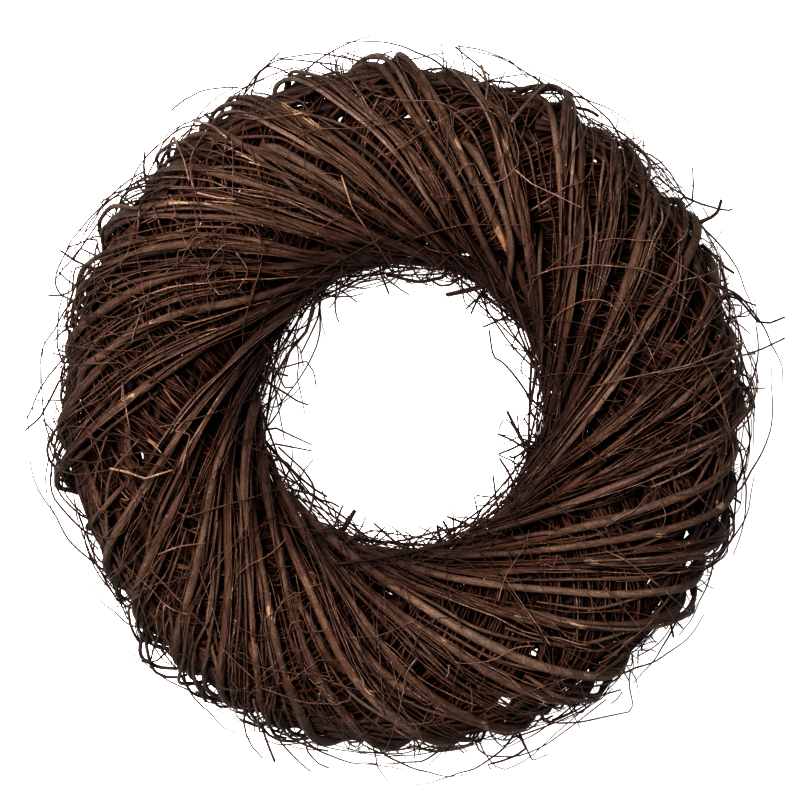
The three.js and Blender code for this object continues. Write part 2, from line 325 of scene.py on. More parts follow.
def corner_angles(sides):
    return 2 * np.pi * np.arange(sides) / sides


# How far the grain of the palest twig is shifted along it from that of the darkest
GRAIN_SHIFT = 977


def tube_corners(twigs):
    """The corners of the tubes, and where each lies in its twig laid out straight."""
    side, up = carried_frames(twigs.points)
    angle = corner_angles(twigs.sides)
    radii = twigs.radii
    if radii.ndim == 2:
        radii = np.repeat(radii[:, :, None], twigs.sides, axis=2)
    across = radii * np.cos(angle)
    upward = radii * np.sin(angle)
    middle = twigs.points[:, :, None]
    corners = middle + across[..., None] * side[:, :, None] + upward[..., None] * up[:, :, None]
    corners[..., 2] = np.maximum(corners[..., 2], 0)
    shifted = reach_along(twigs.points) + GRAIN_SHIFT * twigs.tone[:, None]
    along = np.broadcast_to(shifted[:, :, None], across.shape)
    return corners, np.stack([across, upward, along], axis=-1)


def tube_faces(count, rings, sides):
    """Corner indexes of the tubes' side faces and of their two ends."""
    ring = np.arange(count)[:, None, None] * rings * sides + np.arange(rings - 1)[:, None] * sides
    corner = np.arange(sides)
    following = (corner + 1) % sides
    here, beside = ring + corner, ring + following
    walls = np.stack([here, beside, beside + sides, here + sides], axis=-1).reshape(-1, 4)
    first = np.arange(count)[:, None] * rings * sides
    last = first + (rings - 1) * sides
    return walls, np.concatenate([first + corner[::-1], last + corner])


# How much of its strip of the map a tube fills, and how much of that its wall fills. Its two
# ends are drawn past the wall: the middle of the first, their size, and how far apart they are
STRIP_SHARE = 0.88
WALL_SHARE = 0.94
END_MIDDLE = (0.25, 0.97)
END_SIZE = (0.2, 0.02)
END_APART = (0.5, 0)


def tube_map(twigs, bottom, height):
    """A map on which each tube has a strip of its own, in a band of the unit square."""
    count, rings = twigs.points.shape[:2]
    length = reach_along(twigs.points)[:, -1].mean()
    girth = 2 * math.pi * twigs.radii.mean()
    rows = max(1, round(math.sqrt(count * height * girth / length)))
    columns = math.ceil(count / rows)
    cell = np.array([1 / columns, height / rows])
    index = np.arange(count)
    start = np.stack([index % columns, index // columns], axis=-1) * cell + (0, bottom)
    size = cell * STRIP_SHARE
    across = np.linspace(0, 1, twigs.sides + 1)
    along = np.linspace(0, WALL_SHARE, rings)
    grid = np.stack(np.broadcast_arrays(across[None, :], along[:, None]), axis=-1)
    grid = start[:, None, None] + grid * size
    walls = np.stack(
        [grid[:, :-1, :-1], grid[:, :-1, 1:], grid[:, 1:, 1:], grid[:, 1:, :-1]], axis=3
    )
    angle = corner_angles(twigs.sides)
    disc = np.stack([np.cos(angle), np.sin(angle)], axis=-1) * END_SIZE + END_MIDDLE
    first = start[:, None] + disc[::-1] * size
    last = start[:, None] + (disc + END_APART) * size
    return [walls.reshape(-1, 2), first.reshape(-1, 2), last.reshape(-1, 2)]


# Stretches where the bark is scraped off down to tan wood, traced in the photograph: from and
# to in its pixels, and how many pixels to either side
SCARS = [
    ((285, 104), (317, 125), 4.5), ((208, 140), (230, 148), 3.5), ((236, 152), (262, 168), 3),
    ((165, 204), (182, 201), 3), ((205, 201), (240, 203), 3), ((455, 139), (462, 154), 2.5),
    ((504, 142), (511, 160), 2.5), ((536, 696), (543, 704), 5), ((484, 724), (488, 733), 4),
    ((585, 675), (591, 681), 4), ((655, 532), (665, 536), 4), ((714, 500), (722, 506), 4.5),
    ((268, 608), (270, 622), 4.5), ((168, 431), (180, 440), 3), ((560, 225), (566, 245), 4),
    ((498, 232), (502, 252), 4), ((232, 592), (236, 606), 3.5), ((436, 628), (446, 634), 4),
    ((334, 179), (349, 189), 3.5), ((571, 622), (583, 629), 3.5), ((199, 336), (214, 330), 3),
    ((150, 322), (167, 316), 3), ((357, 680), (367, 684), 3), ((588, 560), (599, 563), 3),
    ((149, 440), (160, 452), 3), ((517, 616), (529, 621), 3), ((366, 690), (375, 694), 3),
    ((360, 209), (370, 217), 3), ((121, 400), (135, 394), 3),
]


# Where a scar's edge starts and ends, as shares of its reach
SCAR_EDGE = (0.4, 1.4)


def scarred(corners):
    """1 on the show side of the scraped stretches and 0 away from them."""
    half = PHOTO_SIZE / 2
    scale = PIXEL * nearness(corners[..., 2])
    x = half + (corners[..., 0] - CAMERA_X) / scale
    y = half - (corners[..., 1] - CAMERA_Y) / scale
    found = np.zeros(x.shape)
    for start, end, reach in SCARS:
        run = np.subtract(end, start)
        share = ((x - start[0]) * run[0] + (y - start[1]) * run[1]) / (run @ run)
        share = np.clip(share, 0, 1)
        distance = np.hypot(x - start[0] - share * run[0], y - start[1] - share * run[1])
        inner, outer = SCAR_EDGE
        found = np.maximum(found, 1 - smooth(distance, inner * reach, outer * reach))
    return found * (corners[..., 2] > CENTRE_HEIGHT)


def twig_mesh(name, batches, skin):
    """One mesh of closed tubes with the attributes and the map that the bark reads."""
    areas = [reach_along(t.points)[:, -1].sum() * t.radii.mean() for t in batches]
    values = {"corner": [], "grain": [], "tone": [], "knot": [], "scar": [], "depth": []}
    loops, starts, maps = [], [], []
    vertex = loop = 0
    bottom = 0.0
    for twigs, area in zip(batches, areas):
        count, rings = twigs.points.shape[:2]
        corners, grain = tube_corners(twigs)
        knots = np.zeros((count, rings)) if twigs.knots is None else twigs.knots
        bare = np.zeros((count, rings)) if twigs.bare is None else twigs.bare
        values["corner"].append(corners.reshape(-1, 3) * METRES)
        values["grain"].append(grain.reshape(-1, 3))
        values["tone"].append(np.repeat(twigs.tone, rings * twigs.sides))
        values["knot"].append(np.repeat(knots.ravel(), twigs.sides))
        values["scar"].append((scarred(corners) + bare[:, :, None]).ravel())
        values["depth"].append(skin.depth(corners).ravel())
        for faces in tube_faces(count, rings, twigs.sides):
            loops.append(faces.ravel() + vertex)
            starts.append(loop + faces.shape[1] * np.arange(len(faces)))
            loop += faces.size
        height = area / sum(areas)
        maps += tube_map(twigs, bottom, height)
        bottom += height
        vertex += count * rings * twigs.sides
    values = {key: np.concatenate(found).astype(np.float32) for key, found in values.items()}
    start = np.concatenate(starts).astype(np.int32)
    mesh = bpy.data.meshes.new(name)
    mesh.vertices.add(vertex)
    mesh.vertices.foreach_set("co", values["corner"].ravel())
    mesh.loops.add(loop)
    mesh.loops.foreach_set("vertex_index", np.concatenate(loops).astype(np.int32))
    mesh.polygons.add(len(start))
    mesh.polygons.foreach_set("loop_start", start)
    mesh.polygons.foreach_set("use_smooth", np.ones(len(start), bool))
    mesh.attributes.new("grain", "FLOAT_VECTOR", "POINT").data.foreach_set(
        "vector", values["grain"].ravel()
    )
    for key in ("tone", "knot", "scar", "depth"):
        mesh.attributes.new(key, "FLOAT", "POINT").data.foreach_set("value", values[key])
    layer = mesh.uv_layers.new(name="OFBake")
    layer.uv.foreach_set("vector", np.concatenate(maps).astype(np.float32).ravel())
    mesh.update(calc_edges=True)
    return mesh


@dataclass
class Piece:
    """Twigs that make one mesh, and the nodes of the frame that it replaces."""

    name: str
    batches: list
    material: bpy.types.Material
    slot: str
    replaced: tuple = ()


def add_piece(piece, skin):
    made = bpy.data.objects.new(piece.name, twig_mesh(piece.name, piece.batches, skin))
    bpy.context.scene.collection.objects.link(made)
    made.data.materials.append(piece.material)
    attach(made, "root")
    if piece.replaced:
        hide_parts(*piece.replaced)


def spline(control, rings):
    """Smooth lines through control points, one row of them for each twig."""
    last = control.shape[1] - 1
    before = 2 * control[:, :1] - control[:, 1:2]
    after = 2 * control[:, -1:] - control[:, -2:-1]
    padded = np.concatenate([before, control, after], axis=1)
    where = np.linspace(0, last, rings)
    low = np.minimum(where.astype(int), last - 1)
    t = (where - low)[None, :, None]
    a, b, c, d = (padded[:, low + step] for step in range(4))
    return 0.5 * (
        2 * b + (c - a) * t + (2 * a - 5 * b + 4 * c - d) * t**2 + (3 * b - a - 3 * c + d) * t**3
    )


def wander(rng, count, rings, bends, size):
    """Offsets that stray by about a size, with a soft bend at each of some even places."""
    return spline(rng.normal(0, size, (count, bends, 1)), rings)[..., 0]


def kinked(rng, count, rings, bends, size):
    """Offsets as in wander, with sharp bends."""
    values = rng.normal(0, size, (count, bends))
    where = np.linspace(0, bends - 1, rings)
    low = np.minimum(where.astype(int), bends - 2)
    share = where - low
    return values[:, low] * (1 - share) + values[:, low + 1] * share


def from_middle(rings):
    """Where rings lie along a twig, from -0.5 at its root to 0.5 at its tip."""
    return np.linspace(-0.5, 0.5, rings)


def drawn_between(rng, count, ends, power=1):
    """A value for each twig. The higher the power, the more of them lie near the first end."""
    return between(ends, rng.uniform(0, 1, (count, 1)) ** power)


# A twig's radius at its root, as a multiple of its own radius
ROOT_SWELL = 1.1


def tapered(thick, rings, tip):
    """Radii by ring, a little swollen at the root and down to a share of them at the tip."""
    return thick * np.linspace(ROOT_SWELL, tip, rings)


def twigs_of(rng, kept, points, radii, tones, sides=4):
    """The twigs that found a place, each with a tone drawn from a range."""
    return Twigs(points[kept], radii[kept], sides, rng.uniform(*tones, kept.sum()))


# The bare ends of cut twigs: how long they are, at most which share of a twig's last stretch
# they take, how bare they are, and how likely they are
TIP_LENGTH = 1.4
TIP_SHARE = 0.6
TIP_BARE = 3
TIP_CHANCE = 0.6


def with_cut_ends(rng, twigs):
    """Gives some of the twigs a far end of bare wood, just past one more ring."""
    last = twigs.points[:, -1:]
    back = twigs.points[:, -2:-1] - last
    length = np.linalg.norm(back, axis=-1, keepdims=True)
    near = last + back * np.minimum(TIP_LENGTH / length, TIP_SHARE)
    points = np.concatenate([twigs.points[:, :-1], near, last], axis=1)
    radii = np.concatenate([twigs.radii, twigs.radii[:, -1:]], axis=1)
    bare = np.zeros(points.shape[:2])
    bare[:, -1] = TIP_BARE * (rng.uniform(0, 1, len(points)) < TIP_CHANCE)
    return Twigs(points, radii, twigs.sides, twigs.tone, bare=bare)


# Laying twigs on each other

def cells_across(places, step, scale, radii):
    """The cells within a twig's radius of its samples in one direction, and how far off."""
    size = step * scale
    reach = math.ceil((radii / size).max())
    cell = np.rint(places / step).astype(int)[:, None] + np.arange(-reach, reach + 1)
    off = np.abs(cell - places[:, None] / step) - 0.5
    return cell, np.maximum(off, 0) * size[:, None]


class Skin:
    """How high twigs lie over the core's crests, on a grid of the ring's unrolled skin."""

    AROUND_STEP = 0.2
    SECTION_STEP = 0.6
    SAMPLE_SHARE = 0.55
    LEAST_SAMPLE = 0.7
    FEWEST_SAMPLES = 8
    SMOOTHED_CELLS = 10

    def __init__(self, floor):
        shape = (round(360 / self.AROUND_STEP), round(360 / self.SECTION_STEP))
        self.height = np.full(shape, float(floor))
        self.average = self.height

    def samples(self, around, section, radii):
        """Places close together along a twig, and its radii there."""
        steps = np.linalg.norm(np.diff(surface_point(around, section, 0), axis=0), axis=-1)
        spacing = max(self.LEAST_SAMPLE, self.SAMPLE_SHARE * radii.mean())
        share = np.linspace(0, 1, max(self.FEWEST_SAMPLES, int(steps.sum() / spacing)))
        rings = np.linspace(0, 1, len(around))
        return share, [np.interp(share, rings, x) for x in (around, section, radii)], spacing

    def cells(self, around, section, radii):
        """The cells under each sample of a twig, and how high its skin stands over its middle."""
        along_ring, along_section = skin_scale(section)
        column, dx = cells_across(around, self.AROUND_STEP, along_ring, radii)
        row, dy = cells_across(section, self.SECTION_STEP, along_section, radii)
        room = radii[:, None, None] ** 2 - dx[:, :, None] ** 2 - dy[:, None, :] ** 2
        stands = np.where(room > 0, np.sqrt(np.maximum(room, 0)), -np.inf)
        size = self.height.shape
        return (column[:, :, None] % size[0], row[:, None, :] % size[1]), stands

    def cover(self, around, section, radii, lift):
        """Puts a twig on the grid where it lies."""
        share, (a, s, r), _ = self.samples(around, section, radii)
        cells, stands = self.cells(a, s, r)
        own = np.interp(share, np.linspace(0, 1, len(lift)), lift)
        np.maximum.at(self.height, cells, own[:, None, None] + stands)

    def lay(self, around, section, radii, stiff, ceiling):
        """Rests a twig on what lies below. Gives its lifts, or None if it would lie too high."""
        share, (a, s, r), spacing = self.samples(around, section, radii)
        cells, stands = self.cells(a, s, r)
        needed = (self.height[cells] + stands).max(axis=(1, 2))
        reach = max(1, round(stiff / spacing))
        padded = np.pad(needed, 2 * reach, mode="edge")
        windows = np.lib.stride_tricks.sliding_window_view(padded, 2 * reach + 1)
        weights = np.hanning(2 * reach + 3)[1:-1]
        eased = np.convolve(windows.max(axis=1), weights / weights.sum(), mode="valid")
        if (eased + r).max() > ceiling:
            return None
        np.maximum.at(self.height, cells, eased[:, None, None] + stands)
        return np.interp(np.linspace(0, 1, len(around)), share, eased)

    def smooth_out(self):
        """Finds how high the twigs lie on average round each place."""
        waves = [np.fft.fftfreq(size) * math.pi * self.SMOOTHED_CELLS for size in self.height.shape]
        kept = np.exp(-2 * (waves[0][:, None] ** 2 + waves[1][None, :] ** 2))
        self.average = np.fft.ifft2(np.fft.fft2(self.height) * kept).real

    def depth(self, corners):
        """How deep corners lie under the average height of the twigs round them."""
        across = (np.hypot(corners[..., 0], corners[..., 1]) - CENTRE_RADIUS) / HALF_WIDTH
        upward = (corners[..., 2] - CENTRE_HEIGHT) / HALF_HEIGHT
        lift = (np.hypot(across, upward) - 1) * (HALF_WIDTH + HALF_HEIGHT) / 2
        around = np.degrees(np.arctan2(corners[..., 0], corners[..., 1]))
        section = np.degrees(np.arctan2(upward, across))
        column = np.rint(around / self.AROUND_STEP).astype(int) % self.height.shape[0]
        row = np.rint(section / self.SECTION_STEP).astype(int) % self.height.shape[1]
        return self.average[column, row] - lift


def lay_all(skin, around, section, radii, stiff, ceiling):
    """Lays twigs in turn. Gives their lifts and which of them found a place."""
    lifts = np.zeros(around.shape)
    kept = np.zeros(len(around), bool)
    for twig in range(len(around)):
        found = skin.lay(around[twig], section[twig], radii[twig], stiff, ceiling)
        if found is not None:
            lifts[twig] = found
            kept[twig] = True
    return lifts, kept


def laid_twigs(rng, skin, around, section, radii, stiff, ceiling, tones):
    """Those of the twigs that found a place, laid in turn."""
    lift, kept = lay_all(skin, around, section, radii, stiff, ceiling)
    return twigs_of(rng, kept, surface_point(around, section, lift), radii, tones)


# The thick rods, in the places and with the shoots that the frame gives them

# Past each end of its open stretch a rod dives under the brushwood, within a turn round the
# section, and gets thinner
ROD_SIDES = 10
FRONT_RINGS = 124
BACK_RINGS = 64
HIDDEN_TURN = 34
HIDDEN_DEPTH = 9
HIDDEN_THINNING = 0.45
BARK_SHARE = 0.88

# Knots with a bud on one side
FIRST_KNOT = (5, 20)
KNOT_SPACING = (22, 46)
KNOT_SWELL = 0.09
KNOT_LENGTH = 2.4
KNOT_SIZES = (0.4, 1.2)
BUD_SWELL = 0.2
BUD_NARROWNESS = 2.5
BUD_HALF_TURNS = (0.7, 1.3)


def with_knots(rng, points, radii, sides):
    """Adds swollen knots with a bud on one side. Gives the radii by corner and the knots."""
    reach = reach_along(points)
    shaped = np.repeat(radii[:, :, None], sides, axis=2)
    knots = np.zeros(radii.shape)
    angle = corner_angles(sides)
    for twig in range(len(points)):
        where = rng.uniform(*FIRST_KNOT)
        turn = rng.uniform(0, 2 * np.pi)
        while where < reach[twig, -1]:
            near = np.exp(-(((reach[twig] - where) / KNOT_LENGTH) ** 2))
            facing = np.exp(BUD_NARROWNESS * (np.cos(angle - turn) - 1))
            swell = (KNOT_SWELL + BUD_SWELL * facing) * rng.uniform(*KNOT_SIZES)
            shaped[twig] *= 1 + near[:, None] * swell
            knots[twig] = np.maximum(knots[twig], near)
            where += rng.uniform(*KNOT_SPACING)
            turn += np.pi * rng.uniform(*BUD_HALF_TURNS)
    return shaped, knots


def knotted(rng, kept, points, radii, tones, sides):
    """The rods that found a place, with knots, each with a tone drawn from a range."""
    shaped, knots = with_knots(rng, points[kept], radii[kept], sides)
    return Twigs(points[kept], shaped, sides, rng.uniform(*tones, kept.sum()), knots)


def thick_rod(rng, section, around, lift, radius):
    """A rod with knots, a little uneven in its run and its thickness."""
    rings = len(section)
    aside, up = (wander(rng, 1, rings, bends=10, size=0.25)[0] for _ in range(2))
    points = surface_point(around + aside, section, lift + up)[None]
    radii = BARK_SHARE * radius[None] * (1 + wander(rng, 1, rings, bends=20, size=0.05))
    return knotted(rng, np.array([True]), points, radii, tones=(0.4, 0.9), sides=ROD_SIDES)


def dive(section, start, end):
    """How deep a rod has dived past either end of its open stretch, from 0 to 1."""
    return smooth(start - section, 0, HIDDEN_TURN) + smooth(section - end, 0, HIDDEN_TURN)


def front_rod(rng, index):
    section = np.linspace(FRONT_START - HIDDEN_TURN, FRONT_END + HIDDEN_TURN, FRONT_RINGS)
    depth = dive(section, FRONT_START, FRONT_END)
    lift = front_lift(index, section) * (1 - depth) - HIDDEN_DEPTH * depth
    radius = front_radius(index, section) * (1 - HIDDEN_THINNING * depth)
    return thick_rod(rng, section, front_around(index, section), lift, radius)


def back_rod(rng, index):
    section = np.linspace(BACK_START - HIDDEN_TURN, BACK_END + HIDDEN_TURN, BACK_RINGS)
    depth = dive(section, BACK_START, BACK_END)
    lift = BACK_LIFT * (1 - depth) - HIDDEN_DEPTH * depth
    radius = BACK_RADIUS * (1 - HIDDEN_THINNING * depth)
    return thick_rod(rng, section, back_around(index, section), lift, radius)


def wisp(rng, piece, root, tip):
    """A wisp that leaves the rim while it runs along the ring from its root to its tip."""
    bend = np.arange(WISP_BENDS + 1)
    share = bend / WISP_BENDS
    kink = np.where((bend > 1) & (bend < WISP_BENDS), WISP_KINK, 0)
    aside = kink * [draw(piece, DRAW_KINK_ASIDE + k) - 0.5 for k in bend]
    up = kink * [draw(piece, DRAW_KINK_UP + k) - 0.5 for k in bend]
    away = 1 - (1 - share) ** WISP_TURN_OFF
    radius = between((root[1], tip[1]), away) + aside
    height = between((root[2], tip[2]), share) + up
    points = spline(ring_point(between((root[0], tip[0]), share), radius, height)[None], WISP_RINGS)
    points[..., :2] *= 1 + kinked(rng, 1, WISP_RINGS, bends=8, size=0.0035)[..., None]
    radii = between(BARK_WISP_RADII, np.linspace(0, 1, WISP_RINGS))
    return Twigs(points, radii[None], sides=5, tone=rng.uniform(0, 0.25, 1))


def root_on(around, section, lift):
    x, y, z = surface_point(around, section, lift)
    return float(around), math.hypot(x, y), z


def rim_wisp(rng, index):
    level = index % len(RIM_WISP_ROOTS)
    section = RIM_WISP_ROOTS[level]
    around = front_around(index, section)
    root = root_on(around, section, front_lift(index, section))
    way = -1 if level % 2 else 1
    tip_around = around + way * between(RIM_WISP_SPAN, draw(index, DRAW_RIM_SPAN))
    reach = between(RIM_WISP_REACH, draw(index, DRAW_RIM_REACH))
    if index in FARTHEST_WISPS:
        tip_around = around + (FARTHEST_WISPS[index] - around + 180) % 360 - 180
        reach = FARTHEST_REACH
    height = root[2] + RIM_WISP_RISE * (draw(index, DRAW_RIM_RISE) - 0.5)
    return wisp(rng, index, root, (tip_around, reach, height))


def hole_wisp(rng, piece, root, way, draws, index):
    span, reach, rise = (draw(index, purpose) for purpose in draws)
    tip_around = root[0] + way * between(HOLE_WISP_SPAN, span)
    height = root[2] + HOLE_WISP_RISE * (rise - 0.5)
    return wisp(rng, piece, root, (tip_around, between(HOLE_WISP_REACH, reach), height))


def front_hole_wisp(rng, index):
    section = FRONT_HOLE_WISP_ROOTS[index // 2 % 2]
    root = root_on(front_around(index, section), section, front_lift(index, section))
    return hole_wisp(rng, FRONT_HOLE_PIECE + index, root, -1, DRAW_FRONT_HOLE, index)


def back_hole_wisp(rng, index):
    section = BACK_HOLE_WISP_ROOTS[index % 2]
    root = root_on(back_around(index, section), section, BACK_LIFT)
    return hole_wisp(rng, BACK_HOLE_PIECE + index, root, 1, DRAW_BACK_HOLE, index)


def side_twig(rng, index):
    """A twig that forks from its rod and settles halfway to the next one."""
    start = between(TWIG_ROOTS, draw(index, DRAW_TWIG_ROOT))
    end = start + between(TWIG_LENGTHS, draw(index, DRAW_TWIG_LENGTH))
    share = np.linspace(0, 1, TWIG_RINGS)
    section = between((start, end), share)
    aside = TWIG_OFFSET * smooth(share, 0, TWIG_ASIDE_BY)
    around = between((front_around(index, section), front_around(index + 1, section)), aside)
    lift = between((front_lift(index, section), TWIG_LIFT), smooth(share, 0, TWIG_DOWN_BY))
    points = surface_point(around, section, lift)[None]
    radii = between(TWIG_RADII, share)[None]
    return Twigs(points, radii, sides=6, tone=rng.uniform(0, 1, 1))


def front_rods(material, skin):
    section = np.linspace(FRONT_START, FRONT_END, FRONT_RINGS)
    for index in range(len(FRONT_RODS)):
        rng = np.random.default_rng(FRONT_SEED + index)
        parts = [front_rod(rng, index), rim_wisp(rng, index), side_twig(rng, index)]
        if index % 2:
            parts.append(front_hole_wisp(rng, index))
        name = f"front_rod_{index + 1:02d}"
        lie = front_around(index, section), section, front_radius(index, section)
        skin.cover(*lie, front_lift(index, section))
        yield Piece(f"bark_{name}", parts, material, "rod_bark", (name,))


def back_rods(material, skin):
    section = np.linspace(BACK_START, BACK_END, BACK_RINGS)
    radii = np.full(BACK_RINGS, BACK_RADIUS)
    for index in range(BACK_RODS):
        rng = np.random.default_rng(BACK_SEED + index)
        parts = [back_rod(rng, index), back_hole_wisp(rng, index)]
        name = f"back_rod_{index + 1:02d}"
        skin.cover(back_around(index, section), section, radii, np.full(BACK_RINGS, BACK_LIFT))
        yield Piece(f"bark_{name}", parts, material, "under_rod_bark", (name,))


# The brushwood under the rods, which winds the other way

# Slants are degrees round the ring per degree round the section. They are spread among the
# clumps, and again among the twigs of each
COUNTER_SLANT = -0.27
SLANT_SPREADS = (0.09, 0.06)
CLUMP_SIZE = 6
CLUMP_SPREAD = 1.8
CLUMP_SECTION_SPREAD = 9
COUNTER_SWEEPS = (35, 115)
COUNTER_ENDS_FROM = 0.4
COUNTER_ENDS_DOWN = 4

# Layers in the order in which they are laid: how many twigs, between which angles round the
# section and which radii, the height over the core's crests that they stay under, and rings
LAYERS = {
    "deep": (600, (-50, 190), (0.8, 1.8), -5, 11),
    "top": (1700, (-40, 178), (0.4, 1.2), 0.6, 13),
    "highest": (860, (-30, 178), (0.3, 0.9), 2.8, 14),
    "under_deep": (340, (190, 325), (0.9, 2.0), -3.5, 9),
    "under": (800, (185, 335), (0.5, 1.5), -0.1, 12),
}


def counter_twigs(rng, skin, count, sections, radii, ceiling, rings, loose):
    """Clumps of parallel twigs, laid in turn until they would stand over a ceiling.

    Their ends go down between the others, but the far ends of loose ones stay out.
    """
    clumps = math.ceil(count / CLUMP_SIZE)
    owner = np.arange(count) // CLUMP_SIZE
    middle = rng.uniform(*sections, clumps)[owner] + rng.normal(0, CLUMP_SECTION_SPREAD, count)
    base = rng.uniform(0, 360, clumps)[owner] + rng.normal(0, CLUMP_SPREAD, count)
    slant = rng.normal(COUNTER_SLANT, SLANT_SPREADS[0], clumps)[owner]
    slant = slant + rng.normal(0, SLANT_SPREADS[1], count)
    share = from_middle(rings)
    section = middle[:, None] + rng.uniform(*COUNTER_SWEEPS, (count, 1)) * share
    around = base[:, None] + slant[:, None] * (section - middle[:, None])
    around = around + kinked(rng, count, rings, bends=5, size=0.3)
    width = tapered(drawn_between(rng, count, radii, power=1.7), rings, tip=0.7)
    lift, kept = lay_all(skin, around, section, width, stiff=9, ceiling=ceiling)
    ends = smooth(-share if loose else np.abs(share), COUNTER_ENDS_FROM, 0.5)
    points = surface_point(around, section, lift - COUNTER_ENDS_DOWN * ends)
    twigs = twigs_of(rng, kept, points, width, tones=(0, 1))
    return with_cut_ends(rng, twigs) if loose else twigs


# Stretches of the outer rim and how many twigs fill them: from, to, and how many
FILLINGS = [(0, 80, 130), (80, 180, 110), (180, 360, 480)]
FILLING_RADII = (0.7, 2.1)
LEAST_FILLING_LIFT = 0.2
FILLED_ROOM = (0.1, 1)
FILLED_POWER = 0.7


def spread_along(rng, stretches):
    """Angles spread over some stretches, so many in each."""
    return np.concatenate([rng.uniform(start, end, number) for start, end, number in stretches])


def along_rim(rng, stretches, rings, sweeps, sections, turn, bends, size):
    """Kinked lines along a rim: how far each sweeps along it, where it is and how it turns."""
    middle = spread_along(rng, stretches)[:, None]
    share = from_middle(rings)
    around = middle + rng.uniform(*sweeps, middle.shape) * share
    section = rng.uniform(*sections, middle.shape) + rng.normal(0, turn, middle.shape) * share
    return around, section + kinked(rng, len(middle), rings, bends, size)


def rim_filling(skin):
    """Twigs along the outer rim, packed between the core and the rods' loops."""
    rng = np.random.default_rng(SEEDS["rim_filling"])
    around, section = along_rim(
        rng, FILLINGS, rings=12, sweeps=(10, 26), sections=(-62, 36), turn=24, bends=4, size=2
    )
    count = len(around)
    rods = np.array(FRONT_RODS)
    room = np.interp(around - winding(section), rods[:, 0], rods[:, 3], period=360)
    room = room * rim_loop(section)
    lift = LEAST_FILLING_LIFT + room * rng.uniform(*FILLED_ROOM, (count, 1)) ** FILLED_POWER
    radii = drawn_between(rng, count, FILLING_RADII, power=1.5)
    radii = tapered(radii, around.shape[1], tip=0.7)
    for twig in range(count):
        skin.cover(around[twig], section[twig], radii[twig], lift[twig])
    points = surface_point(around, section, lift)
    return Twigs(points, radii, sides=4, tone=rng.uniform(0, 0.7, count))


# Long stems along the ring, in the middle of its section
STEM_COUNT = 160
STEM_RINGS = 60
STEM_SWEEPS = (150, 230)
STEM_TWIST = 0.3
STEM_HALF_WIDTH = 45
STEM_HALF_HEIGHT = 29
STEM_RADII = (1.8, 3.6)
STEM_TIP = 0.8
GOLDEN_ANGLE = math.pi * (3 - math.sqrt(5))


def ring_bundle():
    """Long stems along the ring, packed into the middle of its section."""
    rng = np.random.default_rng(SEEDS["ring_bundle"])
    count, rings = STEM_COUNT, STEM_RINGS
    turn = GOLDEN_ANGLE * np.arange(count)
    share = np.sqrt((np.arange(count) + 0.5) / count)[:, None]
    start = rng.uniform(0, 360, (count, 1))
    around = start + rng.uniform(*STEM_SWEEPS, (count, 1)) * np.linspace(0, 1, rings)
    twist = turn[:, None] + STEM_TWIST * np.radians(around)
    aside, up = (wander(rng, count, rings, bends=12, size=size) for size in (1.2, 1.5))
    radius = CENTRE_RADIUS + STEM_HALF_WIDTH * share * np.cos(twist) + aside
    height = CENTRE_HEIGHT + STEM_HALF_HEIGHT * share * np.sin(twist) + up
    radii = rng.uniform(*STEM_RADII, (count, 1)) * np.linspace(1, STEM_TIP, rings)
    points = ring_point(around, radius, height)
    return Twigs(points, radii, sides=5, tone=rng.uniform(0, 0.8, count))


# The widest see-through spots of the photograph: degrees round the ring, pixels from its middle,
# and half their width
OPENINGS = [
    (154.3, 293, 3), (160.8, 312, 3.8), (151.4, 280, 3.2), (153.7, 302, 2.2), (114.3, 312, 1.9),
    (194.6, 308, 2.2), (0.9, 291, 2.6), (348, 293, 2.2), (125.5, 303, 1.6), (38, 312, 1.2),
]

# How far along a twig it bends aside, where that ends, and how far aside it bends at most, as
# a multiple of the spot's half width
OPENING_REACH = 8
OPENING_LIMIT = 24
OPENING_MOST = 2


def parted(twigs):
    """Bends twigs aside where the photograph shows see-through spots."""
    points = twigs.points.copy()
    radii = np.broadcast_to(twigs.radii, points.shape[:2])
    for turn, pixels, half_width in OPENINGS:
        distance = pixels * PIXEL * nearness(points[..., 2])
        offset = points[..., :2] - ring_point(turn, 1, 0)[:2] * distance[..., None]
        along = unit(np.gradient(points[..., :2], axis=1))
        across = np.stack([-along[..., 1], along[..., 0]], axis=-1)
        aside = (offset * across).sum(-1)
        ahead = (offset * along).sum(-1)
        nearest = np.abs(ahead).argmin(axis=1)[:, None]
        way = np.where(np.take_along_axis(aside, nearest, axis=1) < 0, -1, 1)
        push = np.maximum(half_width + radii - way * aside, 0)
        push = push * np.exp(-(ahead / OPENING_REACH) ** 2)
        push = np.where(np.linalg.norm(offset, axis=-1) < OPENING_LIMIT, push, 0)
        points[..., :2] += (way * np.minimum(push, OPENING_MOST * half_width))[..., None] * across
    return replace(twigs, points=points)


def brushwood(material, skin):
    rng = np.random.default_rng(SEEDS["brushwood"])
    layers = {
        name: counter_twigs(rng, skin, *layer, loose=name == "highest")
        for name, layer in LAYERS.items()
    }
    filling = rim_filling(skin)
    batches = {
        "brushwood_top": [layers["top"]],
        "brushwood_highest": [layers["highest"]],
        "brushwood_deep": [layers["deep"], filling, ring_bundle()],
        "brushwood_under": [layers["under"], layers["under_deep"]],
    }
    return [
        Piece(name, [parted(twigs) for twigs in own], material, "brushwood", ("brushwood_core",))
        for name, own in batches.items()
    ]


# Rods and twigs that run along with the thick rods

def lie_along(place, start, end, rings):
    """Lines that keep their share of the way from one thick rod to the next."""
    section = start[:, None] + (end - start)[:, None] * np.linspace(0, 1, rings)
    index = np.floor(place).astype(int)[:, None]
    own = place[:, None] - index
    return between((front_around(index, section), front_around(index + 1, section)), own), section


